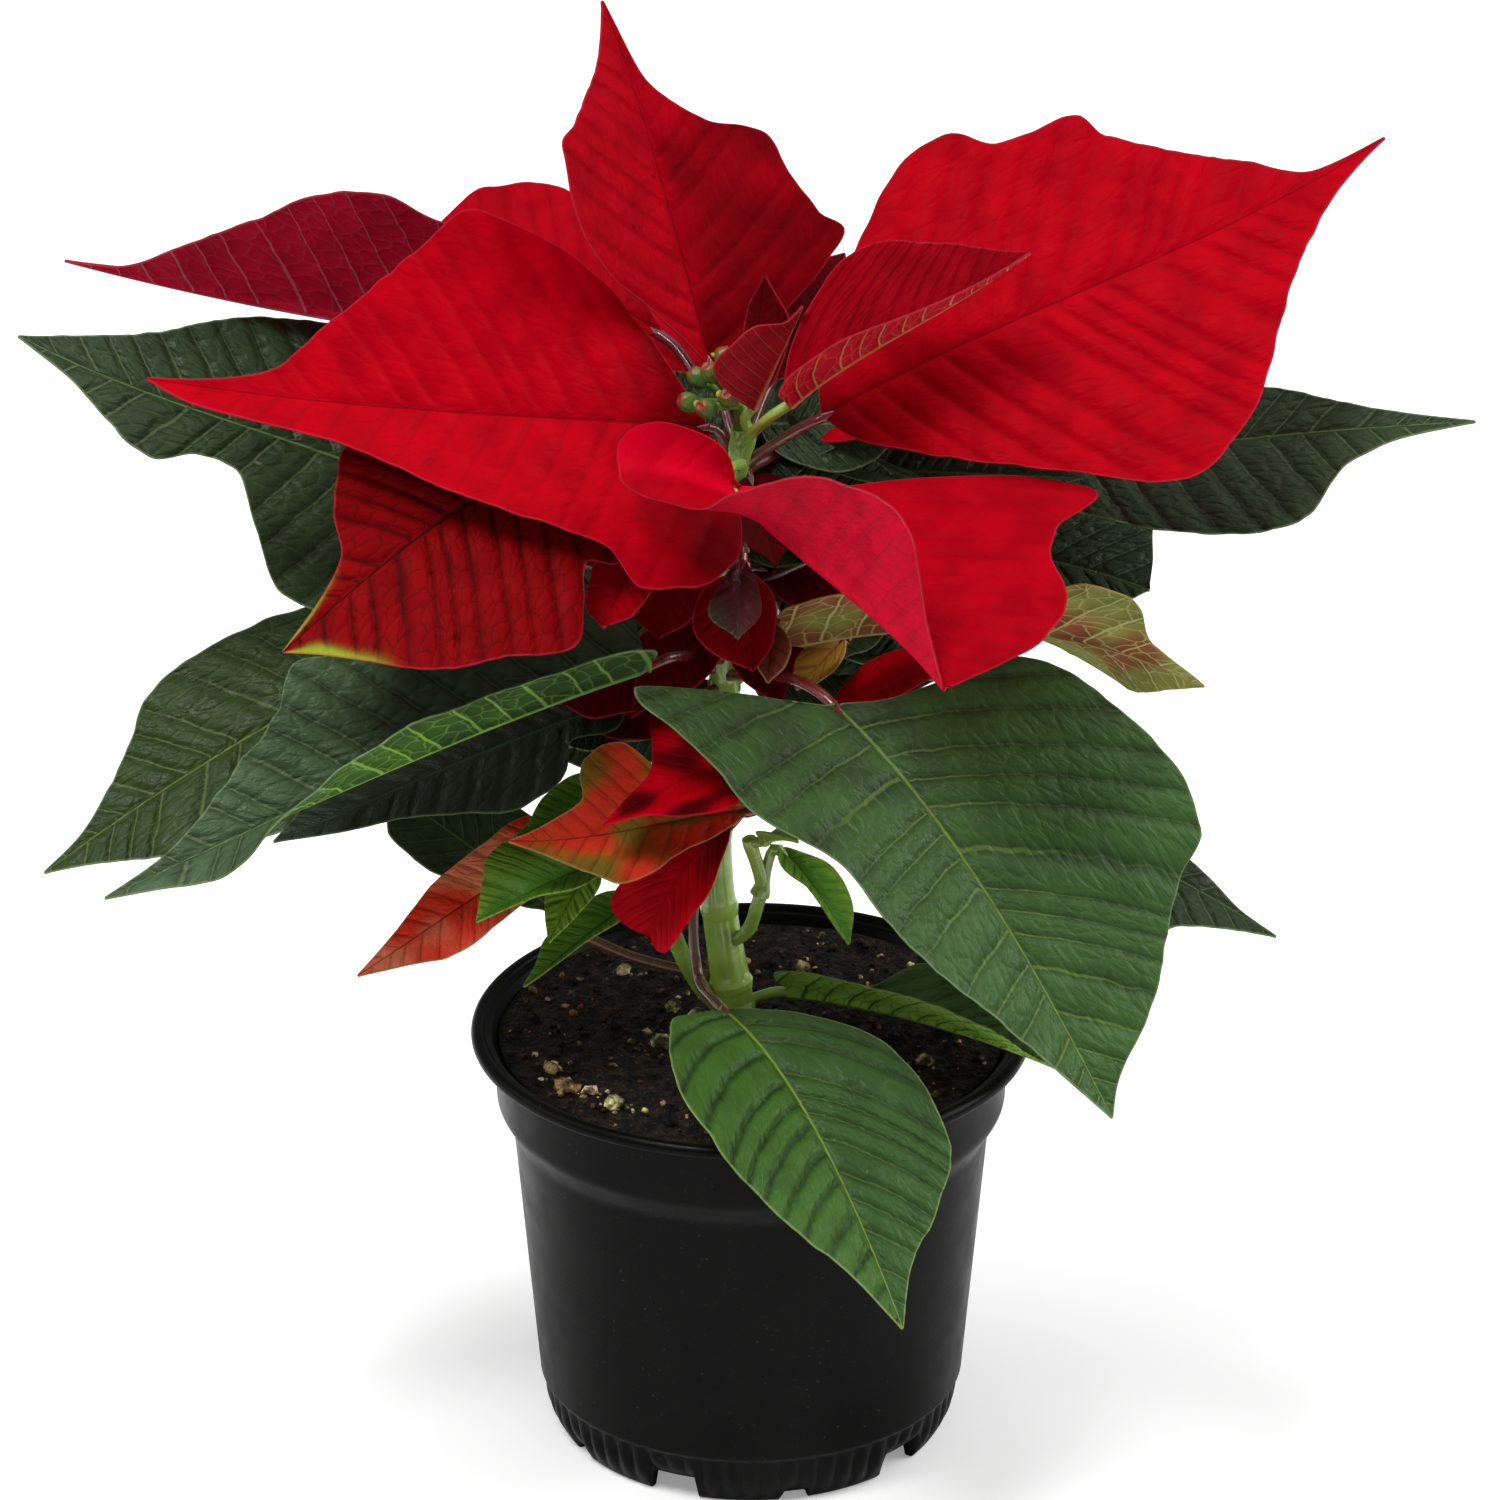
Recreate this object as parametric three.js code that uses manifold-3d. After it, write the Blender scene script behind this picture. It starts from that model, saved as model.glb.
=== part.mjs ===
// Poinsettia in a black nursery pot.
// Millimetres, +Z up. The pot stands on z = 0 with its axis on the z axis, and -Y is the front.
// Azimuths turn from +X towards +Y, so -90 degrees points to the front. Rises are above the horizon.

import * as THREE from 'three';
import { mergeVertices } from 'three/addons/utils/BufferGeometryUtils.js';
import Module from 'manifold-3d';

const wasm = await Module();
wasm.setup();

// ---------------------------------------------------------------- driving dimensions

const GAP = 0.3; // clearance between neighbouring pieces
const WELD = 1e-4; // points closer than this are one

const POT = {
  rimRadius: 65, // a 13 cm pot, measured over its lip
  height: 102,
  wall: 1.3,
  lipThickness: 3.2,
  lipMouthRadius: 61.2,
  bandRadius: 59.2,
  bandBottom: 84,
  bodyTopRadius: 55.5,
  bodyTop: 78,
  bodyBottomRadius: 49.6,
  bodyBottom: 12,
  footRadius: 44.8,
  footWidth: 1.9,
  floorBottom: 3.7,
  floorThickness: 1.5,
  bulge: 1, // how far the wall swells between its foot and its body
  footEdge: 1.2, // height of the sloped edge at the bottom of the foot
  sides: 64,
};

// The notches that let water out under the foot. Angles turn from the front towards +X.
const DEEP_NOTCH = { count: 5, first: -23, width: 15, height: 5 };
const SHALLOW_NOTCH = { count: 5, first: 13, width: 8, height: 2 };
const NOTCH_REACH = 12; // along the radius, more than the foot's width

const SOIL = {
  edgeHeight: 96.5, // level of the soil at the wall
  heap: 2.6, // how far it rises around the stem
  lumps: 0.8, // height of its uneven surface
  lumpSpans: [7, 9, 4], // how far its waves reach, along x, along y and across them both
  flatEdge: 0.05, // share of the radius that stays level at the wall
  sides: 40,
  rings: 4,
};

const STEM = {
  route: [
    [-3, 0, 74], [-3, 0, 98], [-8, 1, 140], [-6, 1, 190], [-3, -1, 230], [-2.5, -4, 243], [-2.5, -4, 252],
  ],
  radii: [4.7, 4.7, 4.0, 3.5, 3.3, 3.1, 2.6],
  sides: 12,
  steps: 22,
};

// Side shoots, each grown out of the stem, with the radius of its own axis.
const SHOOTS = [
  { route: [[-5, -1, 104], [-12, -3, 113], [-18, -9, 129], [-21, -11, 139], [-23, -14, 151]], radius: 2.0 },
  { route: [[-6, 0, 122], [-1, -4, 127], [1.5, -8, 136], [2.5, -9, 141], [-0.5, -11, 154]], radius: 1.6 },
];
const SHOOT = { sides: 8, steps: 10 };

const CYATHIA = {
  foot: [-2.5, -4, 258], // where the flower stalks part
  stemRadius: 1.6,
  stalkRadius: 1.1,
  buds: [
    [-14, -8, 260], [-12, -3, 264], [-9, -10, 268], [-6, -1, 268], [-3, -7, 267], [-5, -13, 263],
    [-10, -14, 261],
  ],
  budRadius: 2.3,
  budHeight: 6,
  budSides: 6,
  stemSides: 8,
};

const BLADE = {
  thickness: 0.8,
  baseHalfWidth: 1.0,
  tipHalfWidth: 0.7,
  longestStep: 0.14, // longest stretch of the midrib between two rows of points
  shortestStep: 0.004,
  leastCurl: 1e-4, // in radians, for a half that doesn't curl
};

const STALK = { radius: 1.3, sides: 6, stepLength: 9, gap: 0.6, neck: 4 }; // neck is straight, at the blade

// How far a margin runs forward of its row, in degrees, from the base of a blade to its tip.
const USUAL_SWEEP = [-20, 10, 25, 20];

// Half outlines of the leaves behind the plant: [station along the midrib, share of the half width].
const SMOOTH_HALF = [[0.05, 0.42], [0.18, 0.82], [0.34, 1], [0.5, 0.88], [0.66, 0.6], [0.82, 0.28]];
const TOOTHED_HALF = [
  [0.05, 0.4], [0.16, 0.78], [0.3, 0.92], [0.4, 1.12], [0.48, 0.82], [0.62, 0.62], [0.84, 0.24],
];

const halfOutline = (outline, halfWidth) => outline.map(([station, share]) => [station, share * halfWidth]);

const ROUGHNESS = { pot: 0.35, soil: 0.95, stem: 0.5, blade: 0.55 };

const COLOURS = {
  bract_red: 0xc8001a,
  bract_turning: 0xb0702c,
  leaf_green: 0x2c5a34,
  leaf_young: 0x5a9632,
  stem_green: 0x6f9a3c,
  cyathium: 0x86a03c,
  pot_black: 0x1c1c1c,
  soil: 0x241c16,
};

// ---------------------------------------------------------------- the leaves

// Each leaf has its stalk's start (a height on the stem or a point), the base, length and heading of
// its blade, and its shape in degrees: bend and side bow the midrib up and to the right at both ends,
// roll turns the blade about it, fold lifts each half from it and curl bends a half further outwards.
// left and right are the margins, as [station along the midrib, half width].
const LEAVES = [
  // red bracts of the head
  {
    name: 'bract_top', colour: 'bract_red', from: 244, base: [-9, 10, 262], length: 85, azimuth: 129,
    rise: 63, bend: [3, 4], side: [0, -8], roll: [0], foldLeft: [15, 20, 10], foldRight: [15, 12, 8],
    left: [[0.08, 6], [0.19, 17], [0.26, 28], [0.35, 35], [0.49, 34], [0.57, 26], [0.74, 13], [0.89, 5]],
    right: [[0.14, 24], [0.2, 34], [0.24, 40], [0.28, 35], [0.36, 31], [0.44, 29], [0.57, 14], [0.78, 3]],
  },
  {
    name: 'bract_right', colour: 'bract_red', from: 243, base: [16, -8, 257], length: 139, azimuth: 6,
    rise: 26, bend: [4, 8], side: [0, 0], roll: [46, 44, 36], foldLeft: [3], foldRight: [2, 0, 4],
    left: [[0.02, 5], [0.12, 22], [0.19, 34], [0.27, 46], [0.31, 47], [0.37, 40], [0.47, 39], [0.51, 32],
      [0.76, 11], [0.88, 2]],
    right: [[0.04, 8], [0.15, 21], [0.3, 39], [0.41, 51], [0.5, 45], [0.61, 31], [0.7, 20], [0.87, 6],
      [0.95, 2]],
  },
  {
    name: 'bract_right_small', colour: 'bract_red', from: 248, base: [8, -28, 268], length: 63, azimuth: 6,
    rise: 32, bend: [8, 6], side: [0, 0], roll: [0], foldLeft: [45, 50, 40], foldRight: [50, 50, 40],
    left: [[0.07, 6], [0.15, 11], [0.22, 15], [0.36, 21], [0.42, 21], [0.57, 16], [0.8, 8]],
    right: [[0.03, 6], [0.11, 9], [0.24, 10], [0.32, 9], [0.44, 6], [0.58, 4]],
  },
  {
    name: 'bract_left', colour: 'bract_red', from: 240, base: [-10, -2, 252], length: 131, azimuth: -162,
    rise: 12, bend: [0, 2], side: [-5, 8], roll: [-32, -36, -32], foldLeft: [-5, -5, 0],
    foldRight: [22, 22, 8],
    left: [[0.03, 25], [0.07, 36], [0.13, 42], [0.19, 42], [0.22, 32], [0.28, 28], [0.44, 20], [0.65, 10],
      [0.8, 7], [0.91, 5]],
    right: [[0.03, 5], [0.14, 23], [0.19, 32], [0.28, 42], [0.36, 46], [0.43, 38], [0.54, 26], [0.65, 16],
      [0.77, 6], [0.9, 2]],
  },
  {
    name: 'bract_front', colour: 'bract_red', from: 238, via: [[-2, -15, 248]], base: [-4, -31, 249],
    length: 87, azimuth: -58, rise: -11, bend: [-10, -4], side: [-6, 6], roll: [0], foldLeft: [8],
    foldRight: [50, 50, 80, 86, 88, 85], curlRight: [-60, -60, -20, 0, 0, 0], sweepLeft: [-35, 10, 22, 20],
    sweepRight: [-50, -30, 0, 15, 20],
    left: [[0.04, 4], [0.15, 15], [0.24, 40], [0.31, 60], [0.36, 66], [0.42, 51], [0.52, 43], [0.65, 39],
      [0.83, 26], [0.92, 13]],
    right: [[0.02, 1.5], [0.04, 15], [0.06, 21], [0.13, 26], [0.19, 25], [0.21, 19], [0.32, 21], [0.41, 25],
      [0.49, 28], [0.64, 30], [0.72, 27], [0.78, 20], [0.84, 12]],
  },
  {
    name: 'bract_back_left', colour: 'bract_red', from: 238, base: [-21, 30, 262], length: 62, azimuth: 150,
    rise: 12, bend: [15, 0], side: [0, 0], roll: [-25], foldLeft: [10], foldRight: [10],
    left: [[0.17, 10], [0.37, 18], [0.77, 6]],
    right: [[0.16, 5], [0.34, 10], [0.5, 22], [0.73, 18], [0.87, 13], [0.96, 5]],
  },
  {
    name: 'bract_far_left', colour: 'bract_red', from: 235, base: [-43, 22, 262], length: 114,
    azimuth: -173, rise: 13, bend: [-5, 5], side: [0, 0], roll: [0], foldLeft: [60, 75, 70, 60],
    foldRight: [15, 15, 10],
    left: [[0.12, 29], [0.28, 31], [0.36, 35], [0.42, 34], [0.58, 23], [0.76, 11], [0.9, 2]],
    right: [[0.15, 8], [0.36, 16], [0.6, 13], [0.85, 4]],
  },
  {
    name: 'bract_centre', colour: 'bract_red', from: 243, via: [[0, -9, 252]], base: [0, -12, 261],
    length: 30, azimuth: -35, rise: 63, bend: [0, 0], side: [0, 0], roll: [0], foldLeft: [60, 50, 30],
    foldRight: [20, 20, 10],
    left: [[0.3, 6], [0.7, 4]],
    right: [[0.14, 7], [0.36, 17], [0.5, 15], [0.69, 11], [0.85, 2]],
  },
  {
    name: 'bract_centre_back', colour: 'bract_red', from: 247, base: [-1, 4, 256], length: 28, azimuth: 68,
    rise: 67, bend: [4, 4], side: [0, 0], roll: [0], foldLeft: [15, 10], foldRight: [15, 10],
    left: [[0.4, 3], [0.66, 3]],
    right: [[0.2, 7], [0.49, 9], [0.74, 5]],
  },
  {
    name: 'bract_gap', colour: 'bract_red', from: 245, base: [5, 16, 257], length: 41, azimuth: 64,
    rise: 24, bend: [5, 0], side: [0, 0], roll: [0], foldLeft: [15, 10], foldRight: [15, 10],
    left: [[0.25, 7], [0.5, 9], [0.84, 5]],
    right: [[0.1, 5], [0.32, 8], [0.66, 6]],
  },
  {
    name: 'bract_lower_left', colour: 'bract_red', from: 226, base: [-44, -12, 249], length: 83,
    azimuth: -137, rise: -17, bend: [12, -8], side: [0, 0], roll: [-42, -40], foldLeft: [5, 5, 0],
    foldRight: [8, 8, 5],
    left: [[0.04, 20], [0.12, 30], [0.16, 26], [0.23, 34], [0.29, 41], [0.43, 34], [0.56, 28], [0.66, 22],
      [0.78, 14], [0.94, 4]],
    right: [[0.14, 8], [0.32, 22], [0.41, 26], [0.49, 21], [0.55, 17], [0.67, 7], [0.82, 3]],
  },
  {
    name: 'bract_under', colour: 'bract_red', from: 180, base: [14, -8, 182], length: 49, azimuth: -23,
    rise: 32, bend: [8, -5], side: [0, 0], roll: [10], foldLeft: [8, 5], foldRight: [5],
    left: [[0.1, 4], [0.25, 13], [0.49, 11], [0.75, 6]],
    right: [[0.15, 12], [0.35, 15], [0.7, 9]],
  },
  // leaves between the head and the green leaves, some of them still turning red
  {
    name: 'turning_right', colour: 'bract_turning', from: 205, base: [3, -12, 202], length: 100,
    azimuth: -10, rise: -1, bend: [20, -26], side: [0, 0], roll: [-10, -30, -62], foldLeft: [25, 5, -15],
    foldRight: [40, 25, 5],
    left: [[0.42, 3], [0.5, 5], [0.6, 19], [0.74, 18], [0.9, 7]],
    right: [[0.06, 8], [0.13, 16], [0.24, 18], [0.4, 19], [0.56, 18], [0.62, 22], [0.7, 21], [0.84, 6]],
  },
  {
    name: 'turning_small', colour: 'bract_turning', from: 196, base: [21, -2, 200], length: 16,
    azimuth: -159, rise: -43, bend: [0, 0], side: [0, 0], roll: [0], foldLeft: [10], foldRight: [10],
    left: [[0.29, 9], [0.52, 7]],
    right: [[0.4, 9], [0.66, 8]],
  },
  {
    name: 'turning_curl', colour: 'bract_turning', from: 213, via: [[1, -12, 217]], base: [5, -22, 212],
    length: 15, azimuth: -96, rise: -36, bend: [10, -8], side: [0, 0], roll: [0], foldLeft: [20],
    foldRight: [20],
    left: [[0.41, 5], [0.66, 4]],
    right: [[0.36, 3], [0.65, 3]],
  },
  {
    name: 'inner_red_a', colour: 'bract_red', from: 226, base: [-23, -18, 231], length: 24, azimuth: -122,
    rise: -37, bend: [10, 0], side: [0, 0], roll: [0], foldLeft: [20], foldRight: [20],
    left: [[0.36, 10], [0.69, 8]],
    right: [[0.3, 8], [0.59, 7], [0.81, 5]],
  },
  {
    name: 'inner_red_b', colour: 'bract_red', from: 222, base: [-14, -12, 224], length: 20, azimuth: -119,
    rise: -46, bend: [10, 0], side: [0, 0], roll: [0], foldLeft: [10], foldRight: [10],
    left: [[0.3, 8], [0.57, 7]],
    right: [[0.27, 7], [0.48, 9], [0.76, 6]],
  },
  {
    name: 'inner_red_c', colour: 'bract_red', from: 218, base: [-1, -20, 224], length: 23, azimuth: -84,
    rise: -52, bend: [10, 0], side: [0, 0], roll: [0], foldLeft: [5], foldRight: [5],
    left: [[0.3, 6], [0.63, 5]],
    right: [[0.21, 11], [0.4, 13], [0.69, 8]],
  },
  {
    name: 'inner_red_d', colour: 'bract_red', from: 192, base: [-19, -6, 193], length: 28, azimuth: -150,
    rise: -2, bend: [10, -8], side: [0, 0], roll: [-20], foldLeft: [10], foldRight: [10],
    left: [[0.3, 12], [0.52, 11], [0.75, 9]],
    right: [[0.2, 4], [0.51, 4], [0.81, 2]],
  },
  {
    name: 'inner_green', colour: 'leaf_green', from: 222, base: [-2, -26, 229], length: 19, azimuth: -94,
    rise: -41, bend: [10, 0], side: [0, 0], roll: [0], foldLeft: [10], foldRight: [10],
    left: [[0.32, 4], [0.57, 5]],
    right: [[0.33, 5], [0.53, 7]],
  },
  {
    name: 'inner_leaf_dark', colour: 'leaf_green', from: 180, base: [-20, 2, 182], length: 26,
    azimuth: -147, rise: -10, bend: [10, -8], side: [0, 0], roll: [-20], foldLeft: [10], foldRight: [10],
    left: [[0.3, 10], [0.54, 7], [0.81, 5]],
    right: [[0.19, 3], [0.46, 6], [0.71, 5]],
  },
  // the spray low on the left
  {
    name: 'spray_orange', colour: 'bract_turning', from: 162, base: [-1, -30, 170], length: 56,
    azimuth: -161, rise: 1, bend: [5, 8], side: [-6, 8], roll: [-20], foldLeft: [-10, -5],
    foldRight: [40, 35, 20],
    left: [[0.19, 6], [0.34, 9], [0.44, 13], [0.52, 14], [0.64, 10], [0.84, 4]],
    right: [[0.07, 2], [0.23, 3], [0.32, 14], [0.38, 20], [0.51, 18], [0.56, 14], [0.6, 9], [0.77, 5]],
  },
  {
    name: 'spray_red_upper', colour: 'bract_red', from: 172, base: [-3, -32, 185], length: 37,
    azimuth: -146, rise: -13, bend: [5, -5], side: [0, 0], roll: [0], foldLeft: [10], foldRight: [10],
    left: [[0.15, 12], [0.34, 25], [0.49, 19], [0.69, 8]],
    right: [[0.05, 20], [0.16, 26], [0.31, 14], [0.51, 6], [0.68, 4]],
  },
  {
    name: 'spray_red_lower', colour: 'bract_red', from: 158, base: [-5, -26, 165], length: 32,
    azimuth: -156, rise: -51, bend: [20, -20], side: [0, 0], roll: [0], foldLeft: [0], foldRight: [0],
    left: [[0.23, 9], [0.43, 14], [0.63, 12], [0.88, 6]],
    right: [[0.35, 6], [0.58, 19], [0.67, 20], [0.9, 12]],
  },
  {
    name: 'spray_orange_left', colour: 'bract_turning', from: [-22, -13, 146], base: [-43, -20, 156],
    length: 55, azimuth: -156, rise: -24, bend: [8, 0], side: [0, 0], roll: [-30], foldLeft: [5],
    foldRight: [5],
    left: [[0.15, 7], [0.34, 9], [0.5, 10], [0.6, 9], [0.73, 6]],
    right: [[0.09, 11], [0.26, 10], [0.43, 9], [0.74, 4]],
  },
  {
    name: 'spray_green_a', colour: 'leaf_young', from: [-22, -14, 150], base: [-34, -12, 165], length: 22,
    azimuth: -158, rise: -17, bend: [5, 0], side: [0, 0], roll: [-20], foldLeft: [10], foldRight: [10],
    left: [[0.24, 12], [0.53, 9]],
    right: [[0.12, 8], [0.37, 7], [0.78, 2]],
  },
  {
    name: 'spray_green_b', colour: 'leaf_young', from: [-22.5, -13, 148], via: [[-28, -26, 158]],
    base: [-33, -32, 158], length: 33, azimuth: -154, rise: -14, bend: [12, -5], side: [0, 0], roll: [-10],
    foldLeft: [20], foldRight: [20],
    left: [[0.27, 10], [0.55, 4], [0.8, 2]],
    right: [[0.11, 9], [0.27, 12], [0.44, 14], [0.74, 7]],
  },
  {
    name: 'spray_green_c', colour: 'leaf_young', from: [-21, -12, 142], base: [-36, -24, 154], length: 21,
    azimuth: -129, rise: -42, bend: [10, 0], side: [0, 0], roll: [0], foldLeft: [10], foldRight: [10],
    left: [[0.23, 6], [0.57, 4]],
    right: [[0.17, 7], [0.33, 7], [0.67, 4]],
  },
  {
    name: 'spray_green_d', colour: 'leaf_green', from: [-18, -9, 129], base: [-25, -8, 138], length: 36,
    azimuth: -143, rise: -21, bend: [8, 0], side: [0, 0], roll: [-20], foldLeft: [30, 30, 20],
    foldRight: [10],
    left: [[0.21, 4], [0.51, 2], [0.8, 1]],
    right: [[0.19, 6], [0.38, 7], [0.59, 6], [0.85, 2]],
  },
  // the shoot low on the right
  {
    name: 'shoot_leaf_a', colour: 'leaf_young', from: [2, -9, 139], base: [7, -10, 151], length: 27,
    azimuth: -38, rise: -43, bend: [15, -10], side: [0, 0], roll: [0], foldLeft: [20], foldRight: [20],
    left: [[0.13, 3], [0.36, 7], [0.61, 6]],
    right: [[0.2, 7], [0.4, 3], [0.8, 2]],
  },
  {
    name: 'shoot_leaf_b', colour: 'leaf_young', from: [-0.5, -11, 153], base: [3, -13, 155], length: 16,
    azimuth: -60, rise: 20, bend: [15, -10], side: [0, 0], roll: [0], foldLeft: [30], foldRight: [30],
    left: [[0.25, 4], [0.6, 3]],
    right: [[0.25, 4], [0.6, 3]],
  },
  // green leaves
  {
    name: 'leaf_upper_left', colour: 'leaf_green', from: 206, base: [-61, 10, 224], length: 116,
    azimuth: -169, rise: 27, bend: [8, 6], side: [-3, 3], roll: [-36, -40, -30], foldLeft: [0],
    foldRight: [8, 8, 5],
    left: [[0.13, 28], [0.26, 41], [0.34, 38], [0.41, 25], [0.5, 11], [0.57, 11], [0.63, 16], [0.75, 11],
      [0.88, 4]],
    right: [[0.19, 21], [0.27, 33], [0.34, 31], [0.48, 26], [0.68, 15], [0.89, 6]],
  },
  {
    name: 'leaf_lower_left', colour: 'leaf_green', from: 186, base: [-73, 10, 194], length: 103,
    azimuth: -158, rise: -24, bend: [8, -6], side: [0, 0], roll: [-25], foldLeft: [0], foldRight: [12, 5],
    left: [[0.19, 22], [0.4, 28], [0.56, 22], [0.71, 15], [0.88, 6]],
    right: [[0.05, 12], [0.14, 18], [0.21, 22], [0.41, 25], [0.5, 23], [0.62, 15], [0.75, 8], [0.9, 2]],
  },
  {
    name: 'leaf_front_left', colour: 'leaf_green', from: 194, base: [-23, -28, 205], length: 135,
    azimuth: -154, rise: -13, bend: [10, -4], side: [0, 0], roll: [-30, -34, -30],
    foldLeft: [98, 95, 92, 75, 15, 0], foldRight: [12, 15, 5],
    left: [[0.03, 20], [0.1, 22], [0.2, 22], [0.35, 19], [0.5, 14], [0.6, 10], [0.68, 12], [0.78, 9],
      [0.88, 5]],
    right: [[0.02, 13], [0.12, 22], [0.26, 28], [0.41, 28], [0.47, 30], [0.54, 22], [0.68, 13], [0.88, 3]],
  },
  {
    name: 'leaf_dark_left', colour: 'leaf_green', from: 184, base: [-28, -14, 190], length: 87,
    azimuth: -159, rise: -14, bend: [6, 0], side: [0, 0], roll: [-10], foldLeft: [-15], foldRight: [0],
    left: [[0.09, 7], [0.19, 6], [0.23, 13], [0.29, 17], [0.36, 18], [0.49, 13], [0.64, 8], [0.8, 5]],
    right: [[0.15, 18], [0.4, 24], [0.7, 14]],
  },
  {
    name: 'leaf_low_left', colour: 'leaf_green', from: 112, base: [-37, 12, 118], length: 58, azimuth: 164,
    rise: 32, bend: [0, -6], side: [0, 0], roll: [-15], foldLeft: [0], foldRight: [10],
    left: [[0.21, 2], [0.28, 5], [0.45, 10], [0.6, 14], [0.72, 13], [0.83, 11]],
    right: [[0.19, 10], [0.34, 17], [0.46, 17], [0.63, 13], [0.85, 8]],
  },
  {
    name: 'leaf_right_front', colour: 'leaf_green', from: 190, base: [19, -42, 201], length: 111,
    azimuth: -44, rise: -41, bend: [18, -10], side: [0, 0], roll: [20, 20, 12], foldLeft: [8, 8, 5],
    foldRight: [8, 8, 5], sweepLeft: [-20, 5, 20, 20], sweepRight: [-36, -8, 15, 20, 25],
    left: [[0.07, 9], [0.14, 26], [0.18, 39], [0.25, 46], [0.42, 52], [0.5, 49], [0.56, 39], [0.79, 19],
      [0.93, 5]],
    right: [[0.01, 26], [0.03, 40], [0.06, 40], [0.09, 36], [0.14, 35], [0.21, 38], [0.33, 26], [0.42, 25],
      [0.69, 14], [0.85, 7]],
  },
  {
    name: 'leaf_over_rim', colour: 'leaf_young', from: 150, via: [[-13, -9, 137], [-12, -16, 121]],
    base: [-6, -34, 122], length: 90, azimuth: -59, rise: -31, bend: [30, -18], side: [0, 0], roll: [0],
    foldLeft: [5, 5, 0], foldRight: [8, 8, 0],
    left: [[0.07, 7], [0.14, 14], [0.27, 26], [0.39, 29], [0.5, 28], [0.61, 22], [0.84, 7]],
    right: [[0.03, 9], [0.05, 14], [0.14, 21], [0.27, 28], [0.4, 27], [0.61, 18], [0.8, 8]],
  },
  {
    name: 'leaf_on_soil', colour: 'leaf_young', from: 106, base: [9, 2, 109], length: 69, azimuth: -28,
    rise: -3, bend: [8, -8], side: [0, 0], roll: [0], foldLeft: [20, 20, 10], foldRight: [48, 48, 30],
    left: [[0.07, 6], [0.26, 6], [0.34, 16], [0.47, 18], [0.79, 8]],
    right: [[0.05, 6], [0.2, 7], [0.35, 8], [0.6, 10], [0.78, 12], [0.9, 5]],
  },
  {
    name: 'leaf_upper_right', colour: 'leaf_green', from: 210, base: [57, 30, 225], length: 113,
    azimuth: -16, rise: 14, bend: [8, -4], side: [0, 0], roll: [32, 30, 25], foldLeft: [5],
    foldRight: [5, 5, 0],
    left: [[0.12, 7], [0.3, 16], [0.51, 14], [0.66, 9], [0.83, 4]],
    right: [[0.13, 11], [0.27, 21], [0.32, 25], [0.4, 28], [0.48, 30], [0.55, 29], [0.71, 11], [0.84, 4]],
  },
  {
    name: 'leaf_mid_right', colour: 'leaf_green', from: 202, base: [34, 24, 213], length: 59, azimuth: -14,
    rise: -6, bend: [10, -10], side: [0, 0], roll: [15], foldLeft: [10], foldRight: [0],
    left: [[0.17, 13], [0.46, 18], [0.54, 27], [0.66, 28], [0.79, 18], [0.91, 9]],
    right: [[0.23, 10], [0.55, 17], [0.9, 6]],
  },
  {
    name: 'leaf_right_behind', colour: 'leaf_green', from: 168, base: [53, 24, 150], length: 77,
    azimuth: -19, rise: -20, bend: [10, -6], side: [0, 0], roll: [10], foldLeft: [8], foldRight: [8],
    left: [[0.16, 17], [0.43, 15], [0.63, 7], [0.72, 5], [0.89, 1]],
    right: [[0.3, 26], [0.54, 26], [0.64, 18], [0.83, 8]],
  },
  {
    name: 'leaf_centre_right', colour: 'leaf_green', from: 186, base: [11, 10, 194], length: 64,
    azimuth: 31, rise: -26, bend: [10, -10], side: [0, 0], roll: [10], foldLeft: [10], foldRight: [10],
    left: [[0.24, 10], [0.47, 12], [0.75, 8]],
    right: [[0.2, 14], [0.45, 16], [0.75, 8]],
  },
  {
    name: 'leaf_gap_right', colour: 'leaf_green', from: 224, base: [11, 20, 236], length: 65, azimuth: 39,
    rise: -11, bend: [10, 0], side: [0, 0], roll: [20], foldLeft: [10], foldRight: [10],
    left: [[0.24, 6], [0.51, 10], [0.77, 7]],
    right: [[0.08, 11], [0.2, 20], [0.49, 14], [0.8, 7]],
  },
  // bracts and leaves on the far side
  {
    name: 'bract_back_right', colour: 'bract_red', from: 241, base: [10, 16, 241], length: 92, azimuth: 54,
    rise: -4, bend: [16, -10], side: [0, 0], roll: [0], foldLeft: [14, 10, 5], foldRight: [14, 10, 5],
    left: halfOutline(TOOTHED_HALF, 34), right: halfOutline(TOOTHED_HALF, 34),
  },
  {
    name: 'bract_back', colour: 'bract_red', from: 236, base: [-6, 21, 249], length: 84, azimuth: 98,
    rise: 4, bend: [18, -12], side: [0, 0], roll: [0], foldLeft: [12, 10, 5], foldRight: [12, 10, 5],
    left: halfOutline(TOOTHED_HALF, 34), right: halfOutline(TOOTHED_HALF, 34),
  },
  {
    name: 'bract_back_far_left', colour: 'bract_red', from: 232, base: [-18, 18, 236], length: 92,
    azimuth: 134, rise: -10, bend: [16, -12], side: [0, 0], roll: [0], foldLeft: [12, 10, 5],
    foldRight: [12, 10, 5],
    left: halfOutline(TOOTHED_HALF, 32), right: halfOutline(TOOTHED_HALF, 32),
  },
  {
    name: 'leaf_back_right', colour: 'leaf_green', from: 190, base: [12, 27, 202], length: 102, azimuth: 50,
    rise: -16, bend: [18, -12], side: [0, 0], roll: [6], foldLeft: [12, 10, 5], foldRight: [12, 10, 5],
    left: halfOutline(SMOOTH_HALF, 39), right: halfOutline(SMOOTH_HALF, 39),
  },
  {
    name: 'leaf_back', colour: 'leaf_green', from: 178, base: [-4, 30, 188], length: 80, azimuth: 88,
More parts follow.
